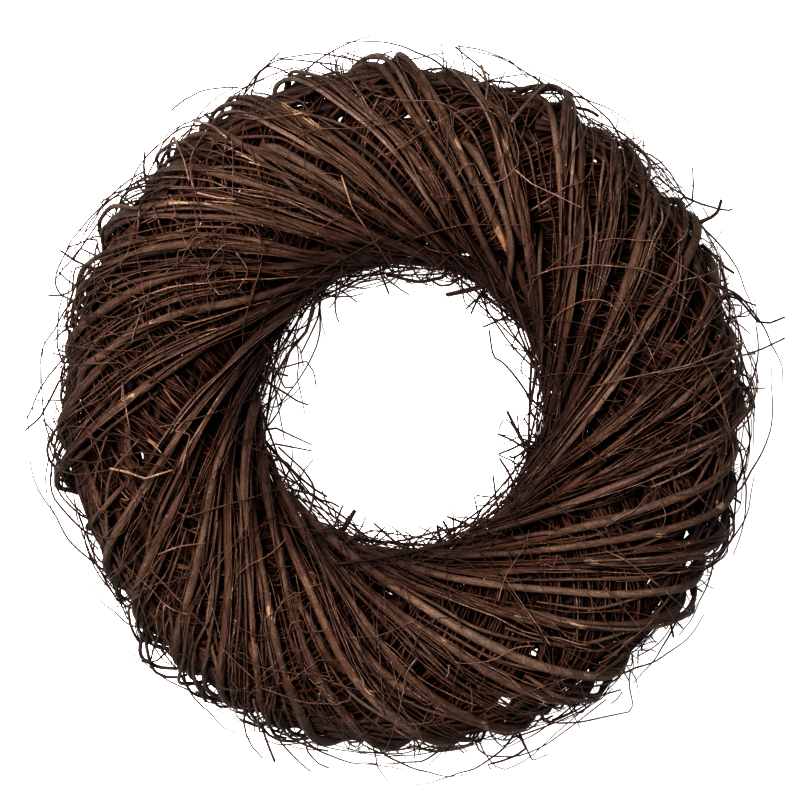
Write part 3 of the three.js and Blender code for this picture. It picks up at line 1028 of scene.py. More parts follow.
# Bundles of thinner rods traced in the photograph: the thick rod before them, counted from 0,
# with their share of the way to the next one, how far they spread, how many they are, the
# stoutest one's radius, and the angles round the section between which they show
BUNDLES = [
    (0.8, 0.05, 1, 0.8, 0, 100), (1.12, 0.06, 2, 1.3, 55, 165), (1.15, 0.03, 1, 0.7, -20, 70),
    (2.45, 0.3, 5, 1.7, -50, 88), (3.2, 0.1, 1, 0.8, 60, 150), (3.78, 0.2, 5, 0.95, 15, 125),
    (4.12, 0.05, 1, 1, 50, 150), (4.8, 0.1, 2, 1.3, -40, 60), (5.2, 0.1, 3, 1, 20, 120),
    (5.52, 0.03, 1, 2.6, 25, 120), (5.8, 0.04, 1, 1.7, -20, 110), (6.15, 0.04, 1, 2, 95, 170),
    (6.35, 0.05, 1, 0.7, 30, 110), (6.9, 0.07, 2, 1.2, 10, 110), (7.15, 0.05, 2, 1.5, 95, 165),
    (7.8, 0.16, 4, 1.1, 25, 125), (8.4, 0.12, 2, 0.8, -20, 90), (8.55, 0.25, 8, 0.6, 75, 165),
    (8.86, 0.1, 3, 1.8, -50, 115), (9.1, 0.05, 1, 2, 55, 160), (10.5, 0.2, 2, 0.6, 90, 160),
    (11.62, 0.03, 1, 2.7, -60, 70), (11.8, 0.12, 2, 1.5, 80, 150), (11.85, 0.1, 4, 1.1, -30, 100),
    (12.2, 0.08, 2, 1.3, 45, 160), (12.55, 0.1, 1, 0.9, 40, 150), (13.82, 0.1, 2, 1.6, -40, 110),
    (14.12, 0.06, 2, 1.4, 80, 165), (14.2, 0.1, 4, 0.6, 90, 165), (15.72, 0.1, 2, 2, -55, 48),
    (16.4, 0.28, 8, 0.6, 15, 150), (17.3, 0.2, 6, 0.6, 85, 165), (17.6, 0.15, 4, 0.9, 0, 100),
    (18.8, 0.1, 2, 1, 40, 130), (19.5, 0.25, 3, 0.6, 20, 110), (20.5, 0.2, 3, 0.9, 0, 130),
    (20.6, 0.15, 3, 1.2, -40, 50), (21.4, 0.2, 4, 1, 0, 130), (21.75, 0.04, 1, 2.3, -40, 125),
    (22.6, 0.28, 6, 1.4, -40, 130), (23.35, 0.15, 4, 0.8, -30, 60), (23.82, 0.12, 3, 1.7, -55, 75),
    (24.2, 0.08, 2, 1.3, 75, 170), (24.7, 0.2, 3, 0.7, 0, 100), (25.28, 0.1, 2, 1.5, 80, 170),
    (25.9, 0.06, 2, 1.3, 0, 80), (26.2, 0.03, 1, 2.3, 80, 160), (26.4, 0.2, 4, 0.9, -30, 120),
    (26.78, 0.04, 1, 2.5, 15, 130), (27.1, 0.03, 1, 2.6, 45, 105), (27.6, 0.25, 5, 0.9, -30, 140),
    (28.35, 0.18, 4, 1.4, 0, 130), (28.85, 0.08, 2, 1.6, -20, 120), (29.12, 0.1, 3, 2.1, -30, 145),
    (29.85, 0.1, 3, 1.6, 0, 140), (30.1, 0.04, 1, 2, 20, 130), (30.5, 0.28, 4, 0.9, -10, 130),
    (31.6, 0.22, 4, 1.5, -50, 45), (31.7, 0.15, 3, 0.8, 40, 140), (32.14, 0.04, 1, 2.6, 60, 160),
    (32.75, 0.2, 4, 1.7, -50, 115), (33.15, 0.08, 2, 2.1, 50, 165), (33.8, 0.12, 3, 1.4, -10, 120),
    (34.3, 0.2, 5, 0.9, 75, 170), (35.45, 0.3, 3, 1.8, -55, 75),
]
BUNDLE_RINGS = 36
BUNDLE_SIDES = 6


# Over how many degrees a rod goes down into the brushwood at its first and its last end
SINKING_TURNS = (14, 16)


def sunk_ends(section, start, end):
    """1 at both ends of a rod, where it goes down into the brushwood, and 0 between them."""
    first, last = SINKING_TURNS
    sunk = smooth(start[:, None] + first - section, 0, first)
    return sunk + smooth(section - end[:, None] + last, 0, last)


# The stoutest rod of a bundle strays less than the others, which are thinner by a drawn share
BUNDLE_START_SPREAD = 12
BUNDLE_END_SPREAD = 15
BUNDLE_OWN_SHARE = (0.2, 0.8)
STOUT_STRAYING = 0.4
BUNDLE_WANDER = 0.7
BUNDLE_DRIFT = 2.2
BUNDLE_THINNER = (0.45, 0.9)
BUNDLE_RIM_LIFT = 3.6
BUNDLE_ENDS_DOWN = 8


def uneven(rng, count, rings):
    """How much thicker or thinner rods are from ring to ring."""
    return 1 + wander(rng, count, rings, bends=12, size=0.05)


def bundled_rods(skin):
    """Thinner rods in bundles between the thick ones, the first of each the stoutest."""
    rng = np.random.default_rng(SEEDS["bundled_rods"])
    number = np.array([bundle[2] for bundle in BUNDLES])
    rank = np.concatenate([np.arange(own) for own in number])
    traced = np.repeat(np.array(BUNDLES, float), number, axis=0)
    place, spread, own_number, stoutest, start, end = traced.T
    count, rings = len(place), BUNDLE_RINGS
    aside = 2 * (rank + rng.uniform(*BUNDLE_OWN_SHARE, count)) / own_number - 1
    start = start + rng.uniform(-BUNDLE_START_SPREAD, BUNDLE_START_SPREAD, count)
    end = end + rng.uniform(-BUNDLE_END_SPREAD, BUNDLE_END_SPREAD, count)
    around, section = lie_along(place + aside * spread, start, end, rings)
    loose = np.where(rank == 0, STOUT_STRAYING, 1)[:, None]
    around = around + BUNDLE_WANDER * loose * wander(rng, count, rings, bends=7, size=1)
    around = around + loose * rng.normal(0, BUNDLE_DRIFT, (count, 1)) * from_middle(rings)
    thinner = np.where(rank == 0, 1, rng.uniform(*BUNDLE_THINNER, count))
    thick = (stoutest * thinner)[:, None]
    radii = tapered(thick, rings, tip=0.75) * uneven(rng, count, rings)
    lift, kept = lay_all(skin, around, section, radii, stiff=14, ceiling=15)
    lift = lift + rng.uniform(0, BUNDLE_RIM_LIFT, (count, 1)) * rim_loop(section)
    lift = lift - BUNDLE_ENDS_DOWN * sunk_ends(section, start, end)
    points = surface_point(around, section, lift)
    return knotted(rng, kept, points, radii, tones=(0, 1), sides=BUNDLE_SIDES)


# More rods traced in the photograph: a radius, then degrees round the ring and pixels from its
# middle
EXTRA_RODS = [
    (2.2, [(12, 275), (14.5, 268), (19, 250), (24, 233), (30, 213), (35, 197), (40, 180), (47, 165)]),
    (1.9, [(16, 305), (19, 281), (22, 260), (26.2, 238), (30, 223), (35, 210), (40, 201)]),
    (1.8, [(27, 335), (30, 310), (33, 295), (37, 280), (41, 270), (46, 256)]),
    (1.9, [(-2, 338), (0.5, 326), (3.5, 312), (6.4, 298), (9, 284), (10.8, 272)]),
    (2.9, [(173.5, 294), (178.8, 280), (184.6, 264), (192.9, 238), (196.4, 226), (200.5, 212)]),
    (2.4, [(192, 272), (196.4, 262), (199.4, 250), (202.9, 238), (207.6, 226), (212.3, 214)]),
    (1.8, [(246, 342), (248, 335), (250, 320), (252, 305), (256, 285)]),
    (1.6, [(323, 336), (324.6, 328), (328.2, 302), (330.5, 274), (332.9, 250), (335.2, 222)]),
]
EXTRA_RINGS = 50


EXTRA_TAPER = (1.08, 0.85)
EXTRA_ENDS_DOWN = 9

# About how high the twigs that the camera sees lie over the core's crests
SEEN_LIFT = 4
SEEN_SECTIONS = 361


def photo_section(pixels):
    """The angle round the section, on the show side, of places so many pixels from the middle."""
    section = np.linspace(0, 180, SEEN_SECTIONS)
    angle = np.radians(section)
    nearer = 1 - (HALF_HEIGHT * np.sin(angle) + SEEN_LIFT) / CAMERA_DISTANCE
    seen = (CENTRE_RADIUS + HALF_WIDTH * np.cos(angle)) / nearer / PIXEL
    return np.interp(-np.asarray(pixels, float), -seen, section)


def extra_rods(skin):
    rng = np.random.default_rng(SEEDS["extra_rods"])
    count, rings = len(EXTRA_RODS), EXTRA_RINGS
    around, section = np.empty((2, count, rings))
    for rod, (_, places) in enumerate(EXTRA_RODS):
        turn, pixels = np.array(places, float).T
        control = np.stack([turn, photo_section(pixels)], axis=-1)
        around[rod], section[rod] = spline(control[None], rings)[0].T
    thick = np.array([radius for radius, _ in EXTRA_RODS])[:, None]
    radii = thick * np.linspace(*EXTRA_TAPER, rings) * uneven(rng, count, rings)
    lift, kept = lay_all(skin, around, section, radii, stiff=16, ceiling=18)
    ends = sunk_ends(section, section[:, 0], section[:, -1])
    points = surface_point(around, section, lift - EXTRA_ENDS_DOWN * ends)
    return knotted(rng, kept, points, radii, tones=(0.2, 0.8), sides=ROD_SIDES)


# Thin rods that cover the inner half of the show side
INNER_COUNT = 44
INNER_RADII = (0.6, 1.5)
INNER_RINGS = 34
INNER_STARTS = (60, 120)
INNER_SWEEPS = (70, 120)
INNER_LAST = 205
INNER_DRIFT = 2.5
INNER_ENDS_DOWN = 7


def inner_rods(skin):
    """Thin rods that lie between the thick ones towards the hole and wander from their way."""
    rng = np.random.default_rng(SEEDS["inner_rods"])
    count, rings = INNER_COUNT, INNER_RINGS
    place = rng.uniform(0, len(FRONT_RODS), count)
    start = rng.uniform(*INNER_STARTS, count)
    end = np.minimum(start + rng.uniform(*INNER_SWEEPS, count), INNER_LAST)
    around, section = lie_along(place, start, end, rings)
    around = around + rng.normal(0, INNER_DRIFT, (count, 1)) * from_middle(rings)
    around = around + wander(rng, count, rings, bends=6, size=0.45)
    radii = tapered(drawn_between(rng, count, INNER_RADII), rings, tip=0.7)
    lift, kept = lay_all(skin, around, section, radii, stiff=12, ceiling=14)
    lift = lift - INNER_ENDS_DOWN * sunk_ends(section, start, end)
    points = surface_point(around, section, lift)
    return knotted(rng, kept, points, radii, tones=(0, 1), sides=BUNDLE_SIDES)


# Fine twigs near the bundles
FINE_SPREAD = 0.08
FINE_COUNT = 300
FINE_RADII = (0.25, 0.65)
FINE_RINGS = 26
FINE_STARTS = (-50, 110)
FINE_SWEEPS = (50, 120)
FINE_LAST = 215
FINE_DRIFT = 4
FINE_TONES = (0.25, 1)


def dense_places(rng, count):
    """Places in and near the bundles, as rods with a share of the way to the next one."""
    place, spread, number = np.array(BUNDLES, float).T[:3]
    own = rng.choice(len(place), count, p=number / number.sum())
    return place[own] + rng.normal(0, FINE_SPREAD + spread[own])


def fine_twigs(skin):
    """Fine twigs that follow the winding loosely, some of them over the rods."""
    rng = np.random.default_rng(SEEDS["fine_twigs"])
    count, rings = FINE_COUNT, FINE_RINGS
    place = dense_places(rng, count)
    start = rng.uniform(*FINE_STARTS, count)
    end = np.minimum(start + rng.uniform(*FINE_SWEEPS, count), FINE_LAST)
    around, section = lie_along(place, start, end, rings)
    drift = rng.normal(0, FINE_DRIFT, (count, 1)) * from_middle(rings)
    around = around + drift + kinked(rng, count, rings, bends=6, size=0.5)
    radii = tapered(rng.uniform(*FINE_RADII, (count, 1)), rings, tip=0.6)
    lift, kept = lay_all(skin, around, section, radii, stiff=12, ceiling=16)
    lift = lift + np.maximum(kinked(rng, count, rings, bends=6, size=0.5), 0)
    points = surface_point(around, section, lift)
    return with_cut_ends(rng, twigs_of(rng, kept, points, radii, FINE_TONES))


# Stretches of the section and how many twigs cross them: from, to, and how many
CROSSINGS = [(-5, 165, 520), (108, 172, 180)]
CROSSING_RADII = (0.2, 0.5)
CROSSING_RINGS = 20
CROSSING_LENGTHS = (18, 80)

# How much a crossing twig's heading bends, and the share that keeps it even on the whole
CROSSING_BEND = 0.5
CROSSING_EVEN = 0.08


def crossing_twigs(skin):
    """Loose twigs that lie over the others in any direction."""
    rng = np.random.default_rng(SEEDS["crossing_twigs"])
    middle = spread_along(rng, CROSSINGS)[:, None]
    count, rings = len(middle), CROSSING_RINGS
    heading = np.radians(rng.uniform(0, 360, (count, 1)))
    length = rng.uniform(*CROSSING_LENGTHS, (count, 1))
    along_ring, along_section = skin_scale(middle)
    share = from_middle(rings)
    bend = rng.normal(0, CROSSING_BEND, (count, 1)) * (share * share - CROSSING_EVEN)
    turned = heading + bend
    section = middle + length * share * np.cos(turned) / along_section
    around = rng.uniform(0, 360, (count, 1)) + length * share * np.sin(turned) / along_ring
    around = around + kinked(rng, count, rings, bends=5, size=0.35)
    section = section + kinked(rng, count, rings, bends=5, size=1)
    radii = tapered(drawn_between(rng, count, CROSSING_RADII, power=1.5), rings, tip=0.5)
    twigs = laid_twigs(rng, skin, around, section, radii, stiff=18, ceiling=16, tones=FINE_TONES)
    return with_cut_ends(rng, twigs)


# Loose twigs over the rods, traced in the photograph: a radius, a tone from 0 for dark to 1
# for pale, then places in its pixels
OVER_TWIGS = [
    (0.6, 1.0, [(341, 174), (350, 200), (372, 225), (392, 245), (398, 255)]),
    (0.5, 0.9, [(541, 267), (562, 262), (597, 264), (637, 272), (671, 289)]),
    (0.5, 1.0, [(512, 172), (530, 186), (552, 197), (580, 212)]),
    (0.5, 0.5, [(341, 695), (312, 689), (270, 674), (250, 656), (232, 640), (195, 550)]),
    (0.8, 1.0, [(121, 466), (135, 470), (150, 477), (172, 470)]),
    (0.6, 0.9, [(178, 474), (184, 435), (172, 431), (184, 414)]),
    (0.5, 0.9, [(136, 428), (129, 382), (128, 400)]),
    (0.6, 0.9, [(720, 347), (680, 366), (660, 371), (620, 380), (600, 386)]),
    (0.6, 0.8, [(785, 338), (760, 350), (740, 356), (715, 359), (690, 366), (655, 374)]),
    (0.6, 0.5, [(48, 295), (60, 296), (75, 290), (90, 283), (105, 276), (130, 262)]),
    (0.5, 0.4, [(172, 110), (182, 101), (203, 90), (228, 87), (262, 90), (300, 93), (345, 95)]),
    (0.8, 0.5, [(275, 762), (268, 745), (263, 730), (258, 715), (253, 690)]),
    (0.4, 0.8, [(542, 458), (530, 448), (518, 439)]),
    (0.5, 0.9, [(605, 550), (620, 556), (635, 567), (650, 580), (668, 597)]),
    (0.4, 0.7, [(702, 553), (714, 569)]),
    (0.5, 0.4, [(160, 562), (175, 578), (190, 595), (205, 610), (220, 628)]),
    (0.5, 0.4, [(532, 95), (527, 110), (522, 130), (518, 150)]),
    (0.9, 0.9, [(476, 88), (483, 102), (482, 114)]),
    (1.2, 0.8, [(506, 134), (520, 120), (536, 106)]),
    (0.5, 0.8, [(710, 311), (718, 312), (724, 320)]),
    (0.5, 0.6, [(680, 420), (700, 408), (712, 395), (718, 384)]),
    (0.6, 0.5, [(242, 134), (262, 135), (290, 130), (320, 124)]),
    (0.8, 0.9, [(262, 682), (268, 695), (271, 712)]),
    (0.5, 0.4, [(283, 672), (298, 668), (320, 655), (340, 657)]),
    (0.5, 0.8, [(340, 650), (352, 662), (366, 680), (385, 695), (400, 702)]),
    (0.6, 1.0, [(183, 146), (192, 160), (197, 175), (199, 191)]),
    (0.9, 1.0, [(208, 140), (225, 144), (236, 152)]),
    (0.7, 1.0, [(205, 201), (222, 203), (238, 203)]),
    (0.6, 0.9, [(150, 236), (153, 222), (156, 213)]),
    (0.5, 0.8, [(164, 213), (168, 228), (170, 238)]),
    (0.5, 0.6, [(155, 232), (165, 226), (180, 225), (195, 232)]),
    (0.6, 0.9, [(165, 550), (182, 544), (205, 543)]),
]


OVER_RINGS = 22
OVER_TIP = 0.7


def photo_skin(places):
    """Where places in the photograph lie: around, section, and how far outside the core's rim."""
    offset = np.asarray(places, float) - PHOTO_CENTRE
    distance = np.hypot(*offset.T)
    around = np.degrees(np.unwrap(np.arctan2(offset[:, 0], -offset[:, 1])))
    return around, photo_section(distance), distance * PIXEL - (CENTRE_RADIUS + HALF_WIDTH)


def evenly(points, rings):
    """Places at even distances along straight stretches between points."""
    steps = np.linalg.norm(np.diff(points, axis=0), axis=1)
    reach = np.concatenate([[0], np.cumsum(steps)])
    where = np.linspace(0, reach[-1], rings)
    return np.stack([np.interp(where, reach, part) for part in points.T], axis=-1)


def over_twigs(skin):
    """Loose twigs that the photograph shows over the rods."""
    count, rings = len(OVER_TWIGS), OVER_RINGS
    points = np.empty((count, rings, 3))
    radii = np.empty((count, rings))
    for twig, (radius, _, places) in enumerate(OVER_TWIGS):
        around, section, outside = photo_skin(evenly(np.array(places, float), rings))
        radii[twig] = radius * np.linspace(1, OVER_TIP, rings)
        lift = skin.lay(around, section, radii[twig], stiff=14, ceiling=40)
        points[twig] = surface_point(around, section, np.maximum(lift, outside))
    return Twigs(points, radii, sides=6, tone=np.array([tone for _, tone, _ in OVER_TWIGS]))


# Loose twigs that stand off the rims, traced in the photograph: a radius, then places in its
# pixels
TOP_STRAYS = [
    (0.3, [(466, 76), (461, 52), (456, 39)]),
    (0.4, [(489, 84), (490, 76), (475, 63), (453, 46), (480, 50), (500, 57), (510, 61), (528, 79)]),
    (0.35, [(444, 66), (443, 56), (441, 44)]),
    (0.35, [(447, 63), (434, 53)]),
    (0.25, [(472, 76), (482, 74), (490, 80)]),
    (0.35, [(499, 84), (505, 72)]),
    (0.5, [(483, 84), (493, 81), (510, 82), (519, 87), (531, 97)]),
    (0.9, [(500, 90), (522, 88), (540, 88), (556, 90), (568, 93), (574, 107), (590, 110), (599, 116)]),
    (0.35, [(530, 88), (543, 97)]),
    (0.3, [(564, 105), (569, 98), (578, 96), (589, 101)]),
    (0.3, [(614, 137), (619, 118), (611, 111)]),
    (0.3, [(629, 143), (623, 127)]),
    (0.3, [(633, 152), (633, 133), (630, 129)]),
    (0.35, [(620, 141), (638, 138), (641, 136)]),
    (0.35, [(622, 142), (634, 147), (647, 145)]),
    (0.35, [(634, 148), (643, 139), (644, 152)]),
    (0.45, [(279, 50), (268, 62), (258, 71), (248, 84), (243, 96)]),
    (0.4, [(242, 98), (252, 87), (258, 75), (266, 68), (275, 62), (283, 60), (300, 61), (340, 65)]),
    (0.4, [(250, 97), (255, 83), (260, 70), (270, 66), (278, 68), (290, 74), (300, 78)]),
    (0.25, [(262, 79), (275, 80), (290, 83)]),
    (0.5, [(320, 64), (330, 70), (338, 74)]),
    (0.8, [(320, 77), (330, 73), (340, 72)]),
    (0.35, [(328, 50), (331, 66)]),
    (0.4, [(333, 50), (338, 71)]),
    (0.4, [(335, 66), (338, 56), (342, 53), (348, 57), (354, 62)]),
    (0.35, [(342, 64), (348, 52), (349, 50)]),
    (0.45, [(344, 50), (355, 54), (366, 58)]),
    (0.35, [(355, 50), (352, 64)]),
    (0.45, [(377, 61), (384, 53), (393, 50)]),
]
RIGHT_STRAYS = [
    (0.4, [(641, 152), (650, 155), (660, 162), (671, 175), (680, 192), (684, 197)]),
    (0.4, [(650, 165), (660, 163), (665, 160)]),
    (0.35, [(650, 167), (665, 168), (672, 172)]),
    (0.45, [(656, 176), (670, 188), (684, 196)]),
    (0.45, [(692, 203), (693, 185), (692, 168)]),
    (0.25, [(672, 188), (692, 186), (705, 188)]),
    (0.55, [(684, 197), (700, 204), (720, 210), (731, 211), (732, 209)]),
    (0.95, [(695, 224), (703, 221), (710, 218), (716, 213), (719, 201)]),
    (0.35, [(702, 206), (709, 219)]),
    (0.25, [(708, 252), (718, 237), (727, 223)]),
    (0.75, [(703, 245), (716, 257), (726, 267), (735, 273)]),
    (0.4, [(722, 287), (729, 283)]),
    (0.4, [(727, 297), (733, 294), (741, 300)]),
    (0.5, [(730, 297), (741, 300), (755, 306)]),
    (0.6, [(733, 293), (745, 306), (758, 322), (770, 323), (785, 317)]),
    (0.35, [(734, 317), (748, 316), (752, 309), (738, 316)]),
    (0.45, [(735, 357), (737, 368), (740, 382), (744, 402), (748, 420), (750, 440), (745, 466), (735, 488)]),
    (0.35, [(745, 368), (735, 380)]),
    (0.4, [(737, 383), (743, 383), (748, 389), (765, 388)]),
    (0.55, [(738, 387), (748, 392), (750, 398), (746, 402), (753, 403)]),
    (0.45, [(733, 468), (737, 485), (736, 505), (735, 522), (727, 531)]),
    (0.5, [(741, 478), (727, 498), (715, 508)]),
    (0.6, [(725, 492), (741, 503)]),
    (0.45, [(732, 501), (720, 515)]),
    (0.5, [(690, 584), (703, 592)]),
    (0.25, [(697, 588), (706, 583), (710, 578)]),
    (0.45, [(688, 584), (694, 578)]),
    (0.6, [(670, 622), (673, 637)]),
    (0.45, [(676, 621), (682, 628)]),
    (0.35, [(664, 626), (667, 630), (670, 625)]),
]
BOTTOM_STRAYS = [
    (0.4, [(545, 721), (560, 723), (580, 722), (605, 716), (629, 711), (633, 707), (628, 682), (630, 670)]),
    (0.25, [(630, 670), (635, 677), (638, 690), (636, 697)]),
    (0.4, [(545, 724), (560, 718), (580, 709), (600, 696), (624, 689), (619, 698), (611, 704)]),
    (0.35, [(476, 747), (485, 755), (500, 756), (515, 756), (530, 751), (545, 744), (575, 722), (605, 698)]),
    (0.3, [(480, 745), (487, 757), (497, 768), (504, 770), (515, 766), (530, 758), (560, 730), (596, 700)]),
    (0.6, [(520, 735), (526, 749), (516, 756), (500, 762), (488, 765), (491, 770)]),
    (0.45, [(505, 728), (516, 735), (524, 743), (528, 752), (533, 762), (549, 756)]),
    (0.35, [(490, 733), (497, 742), (502, 746), (510, 743), (518, 737)]),
    (0.2, [(442, 752), (425, 768), (410, 776)]),
    (0.4, [(417, 742), (421, 749), (433, 746)]),
    (0.35, [(454, 745), (464, 753)]),
    (0.3, [(572, 712), (580, 728)]),
    (0.35, [(582, 700), (570, 713), (552, 720)]),
    (0.45, [(243, 720), (246, 735), (252, 748), (262, 759)]),
    (0.7, [(260, 725), (268, 735), (280, 741), (295, 742), (304, 738)]),
    (0.45, [(279, 740), (290, 752), (300, 762), (311, 771)]),
    (0.25, [(284, 743), (300, 748), (317, 750)]),
    (0.45, [(304, 738), (308, 752), (318, 763), (329, 768)]),
    (0.6, [(304, 741), (315, 750), (328, 753)]),
    (0.35, [(373, 746), (377, 762), (376, 764), (381, 772), (387, 780)]),
    (0.3, [(349, 743), (356, 747), (363, 742)]),
    (0.3, [(255, 720), (254, 732)]),
    (0.3, [(263, 720), (276, 734)]),
]
LEFT_STRAYS = [
    (0.5, [(60, 440), (52, 460), (50, 480), (51, 490), (55, 500), (65, 512), (78, 526), (91, 536)]),
    (0.45, [(64, 443), (55, 462), (54, 480), (56, 488), (62, 498), (72, 508), (80, 515), (90, 520)]),
    (0.4, [(66, 470), (61, 482), (66, 495), (75, 507), (85, 516)]),
    (0.5, [(104, 516), (107, 530), (103, 545)]),
    (0.3, [(112, 582), (107, 587), (100, 584)]),
    (0.3, [(116, 583), (116, 606), (122, 607)]),
    (0.45, [(120, 583), (121, 605), (127, 620)]),
    (0.4, [(122, 600), (130, 620)]),
    (0.35, [(134, 593), (125, 601), (118, 604)]),
    (0.35, [(136, 609), (128, 607), (116, 607)]),
    (1.00, [(147, 625), (141, 640), (140, 650), (142, 658), (149, 662), (160, 667), (178, 668)]),
    (0.8, [(148, 628), (146, 645), (148, 655), (150, 665), (156, 673), (165, 677), (175, 678), (187, 675)]),
    (0.5, [(158, 628), (154, 645), (150, 662)]),
    (0.5, [(165, 653), (158, 660), (149, 662)]),
    (0.35, [(148, 636), (158, 652), (166, 662), (172, 664)]),
    (0.6, [(197, 690), (203, 695), (217, 701)]),
    (0.6, [(212, 700), (220, 706), (228, 707)]),
    (0.5, [(196, 688), (208, 686), (217, 680)]),
    (0.45, [(70, 245), (62, 258), (56, 272), (55, 283), (58, 292), (66, 298)]),
    (0.4, [(80, 248), (70, 262), (62, 270), (57, 278)]),
    (0.4, [(64, 293), (59, 310), (58, 330), (57, 345), (62, 362)]),
    (0.4, [(66, 356), (60, 362), (48, 376), (38, 392), (33, 405), (26, 420)]),
    (0.3, [(34, 400), (33, 408), (31, 422)]),
    (0.55, [(60, 380), (50, 400), (40, 418), (26, 430)]),
    (0.5, [(43, 420), (50, 428), (57, 437)]),
    (0.45, [(70, 327), (62, 333), (55, 341)]),
    (0.45, [(50, 353), (64, 356)]),
    (0.25, [(56, 326), (70, 326)]),
    (0.4, [(78, 300), (65, 318), (62, 315)]),
    (0.4, [(82, 296), (72, 312), (70, 326)]),
    (0.45, [(60, 250), (75, 260), (92, 270)]),
    (0.45, [(59, 272), (70, 282), (86, 292)]),
    (0.4, [(120, 195), (108, 200), (100, 208), (90, 218), (82, 228), (70, 242), (66, 252)]),
    (0.4, [(143, 172), (130, 180), (115, 192), (103, 206), (95, 222), (85, 235), (80, 229)]),
    (0.5, [(145, 183), (130, 188), (115, 193), (100, 203)]),
    (0.3, [(101, 207), (104, 197), (113, 186)]),
    (0.3, [(122, 197), (121, 184)]),
    (0.35, [(126, 188), (130, 181), (140, 176)]),
    (0.55, [(59, 250), (75, 261), (88, 266)]),
    (0.4, [(66, 248), (80, 243), (96, 236), (110, 238)]),
    (0.4, [(73, 259), (85, 242), (95, 226), (106, 214)]),
    (0.6, [(145, 181), (143, 165), (144, 151)]),
    (0.45, [(217, 133), (210, 128), (200, 125), (190, 125), (180, 128), (170, 135), (162, 143), (145, 178)]),
    (0.4, [(186, 136), (192, 130), (205, 128), (219, 122)]),
    (0.4, [(222, 123), (203, 113)]),
    (0.45, [(240, 92), (238, 96), (236, 102)]),
]
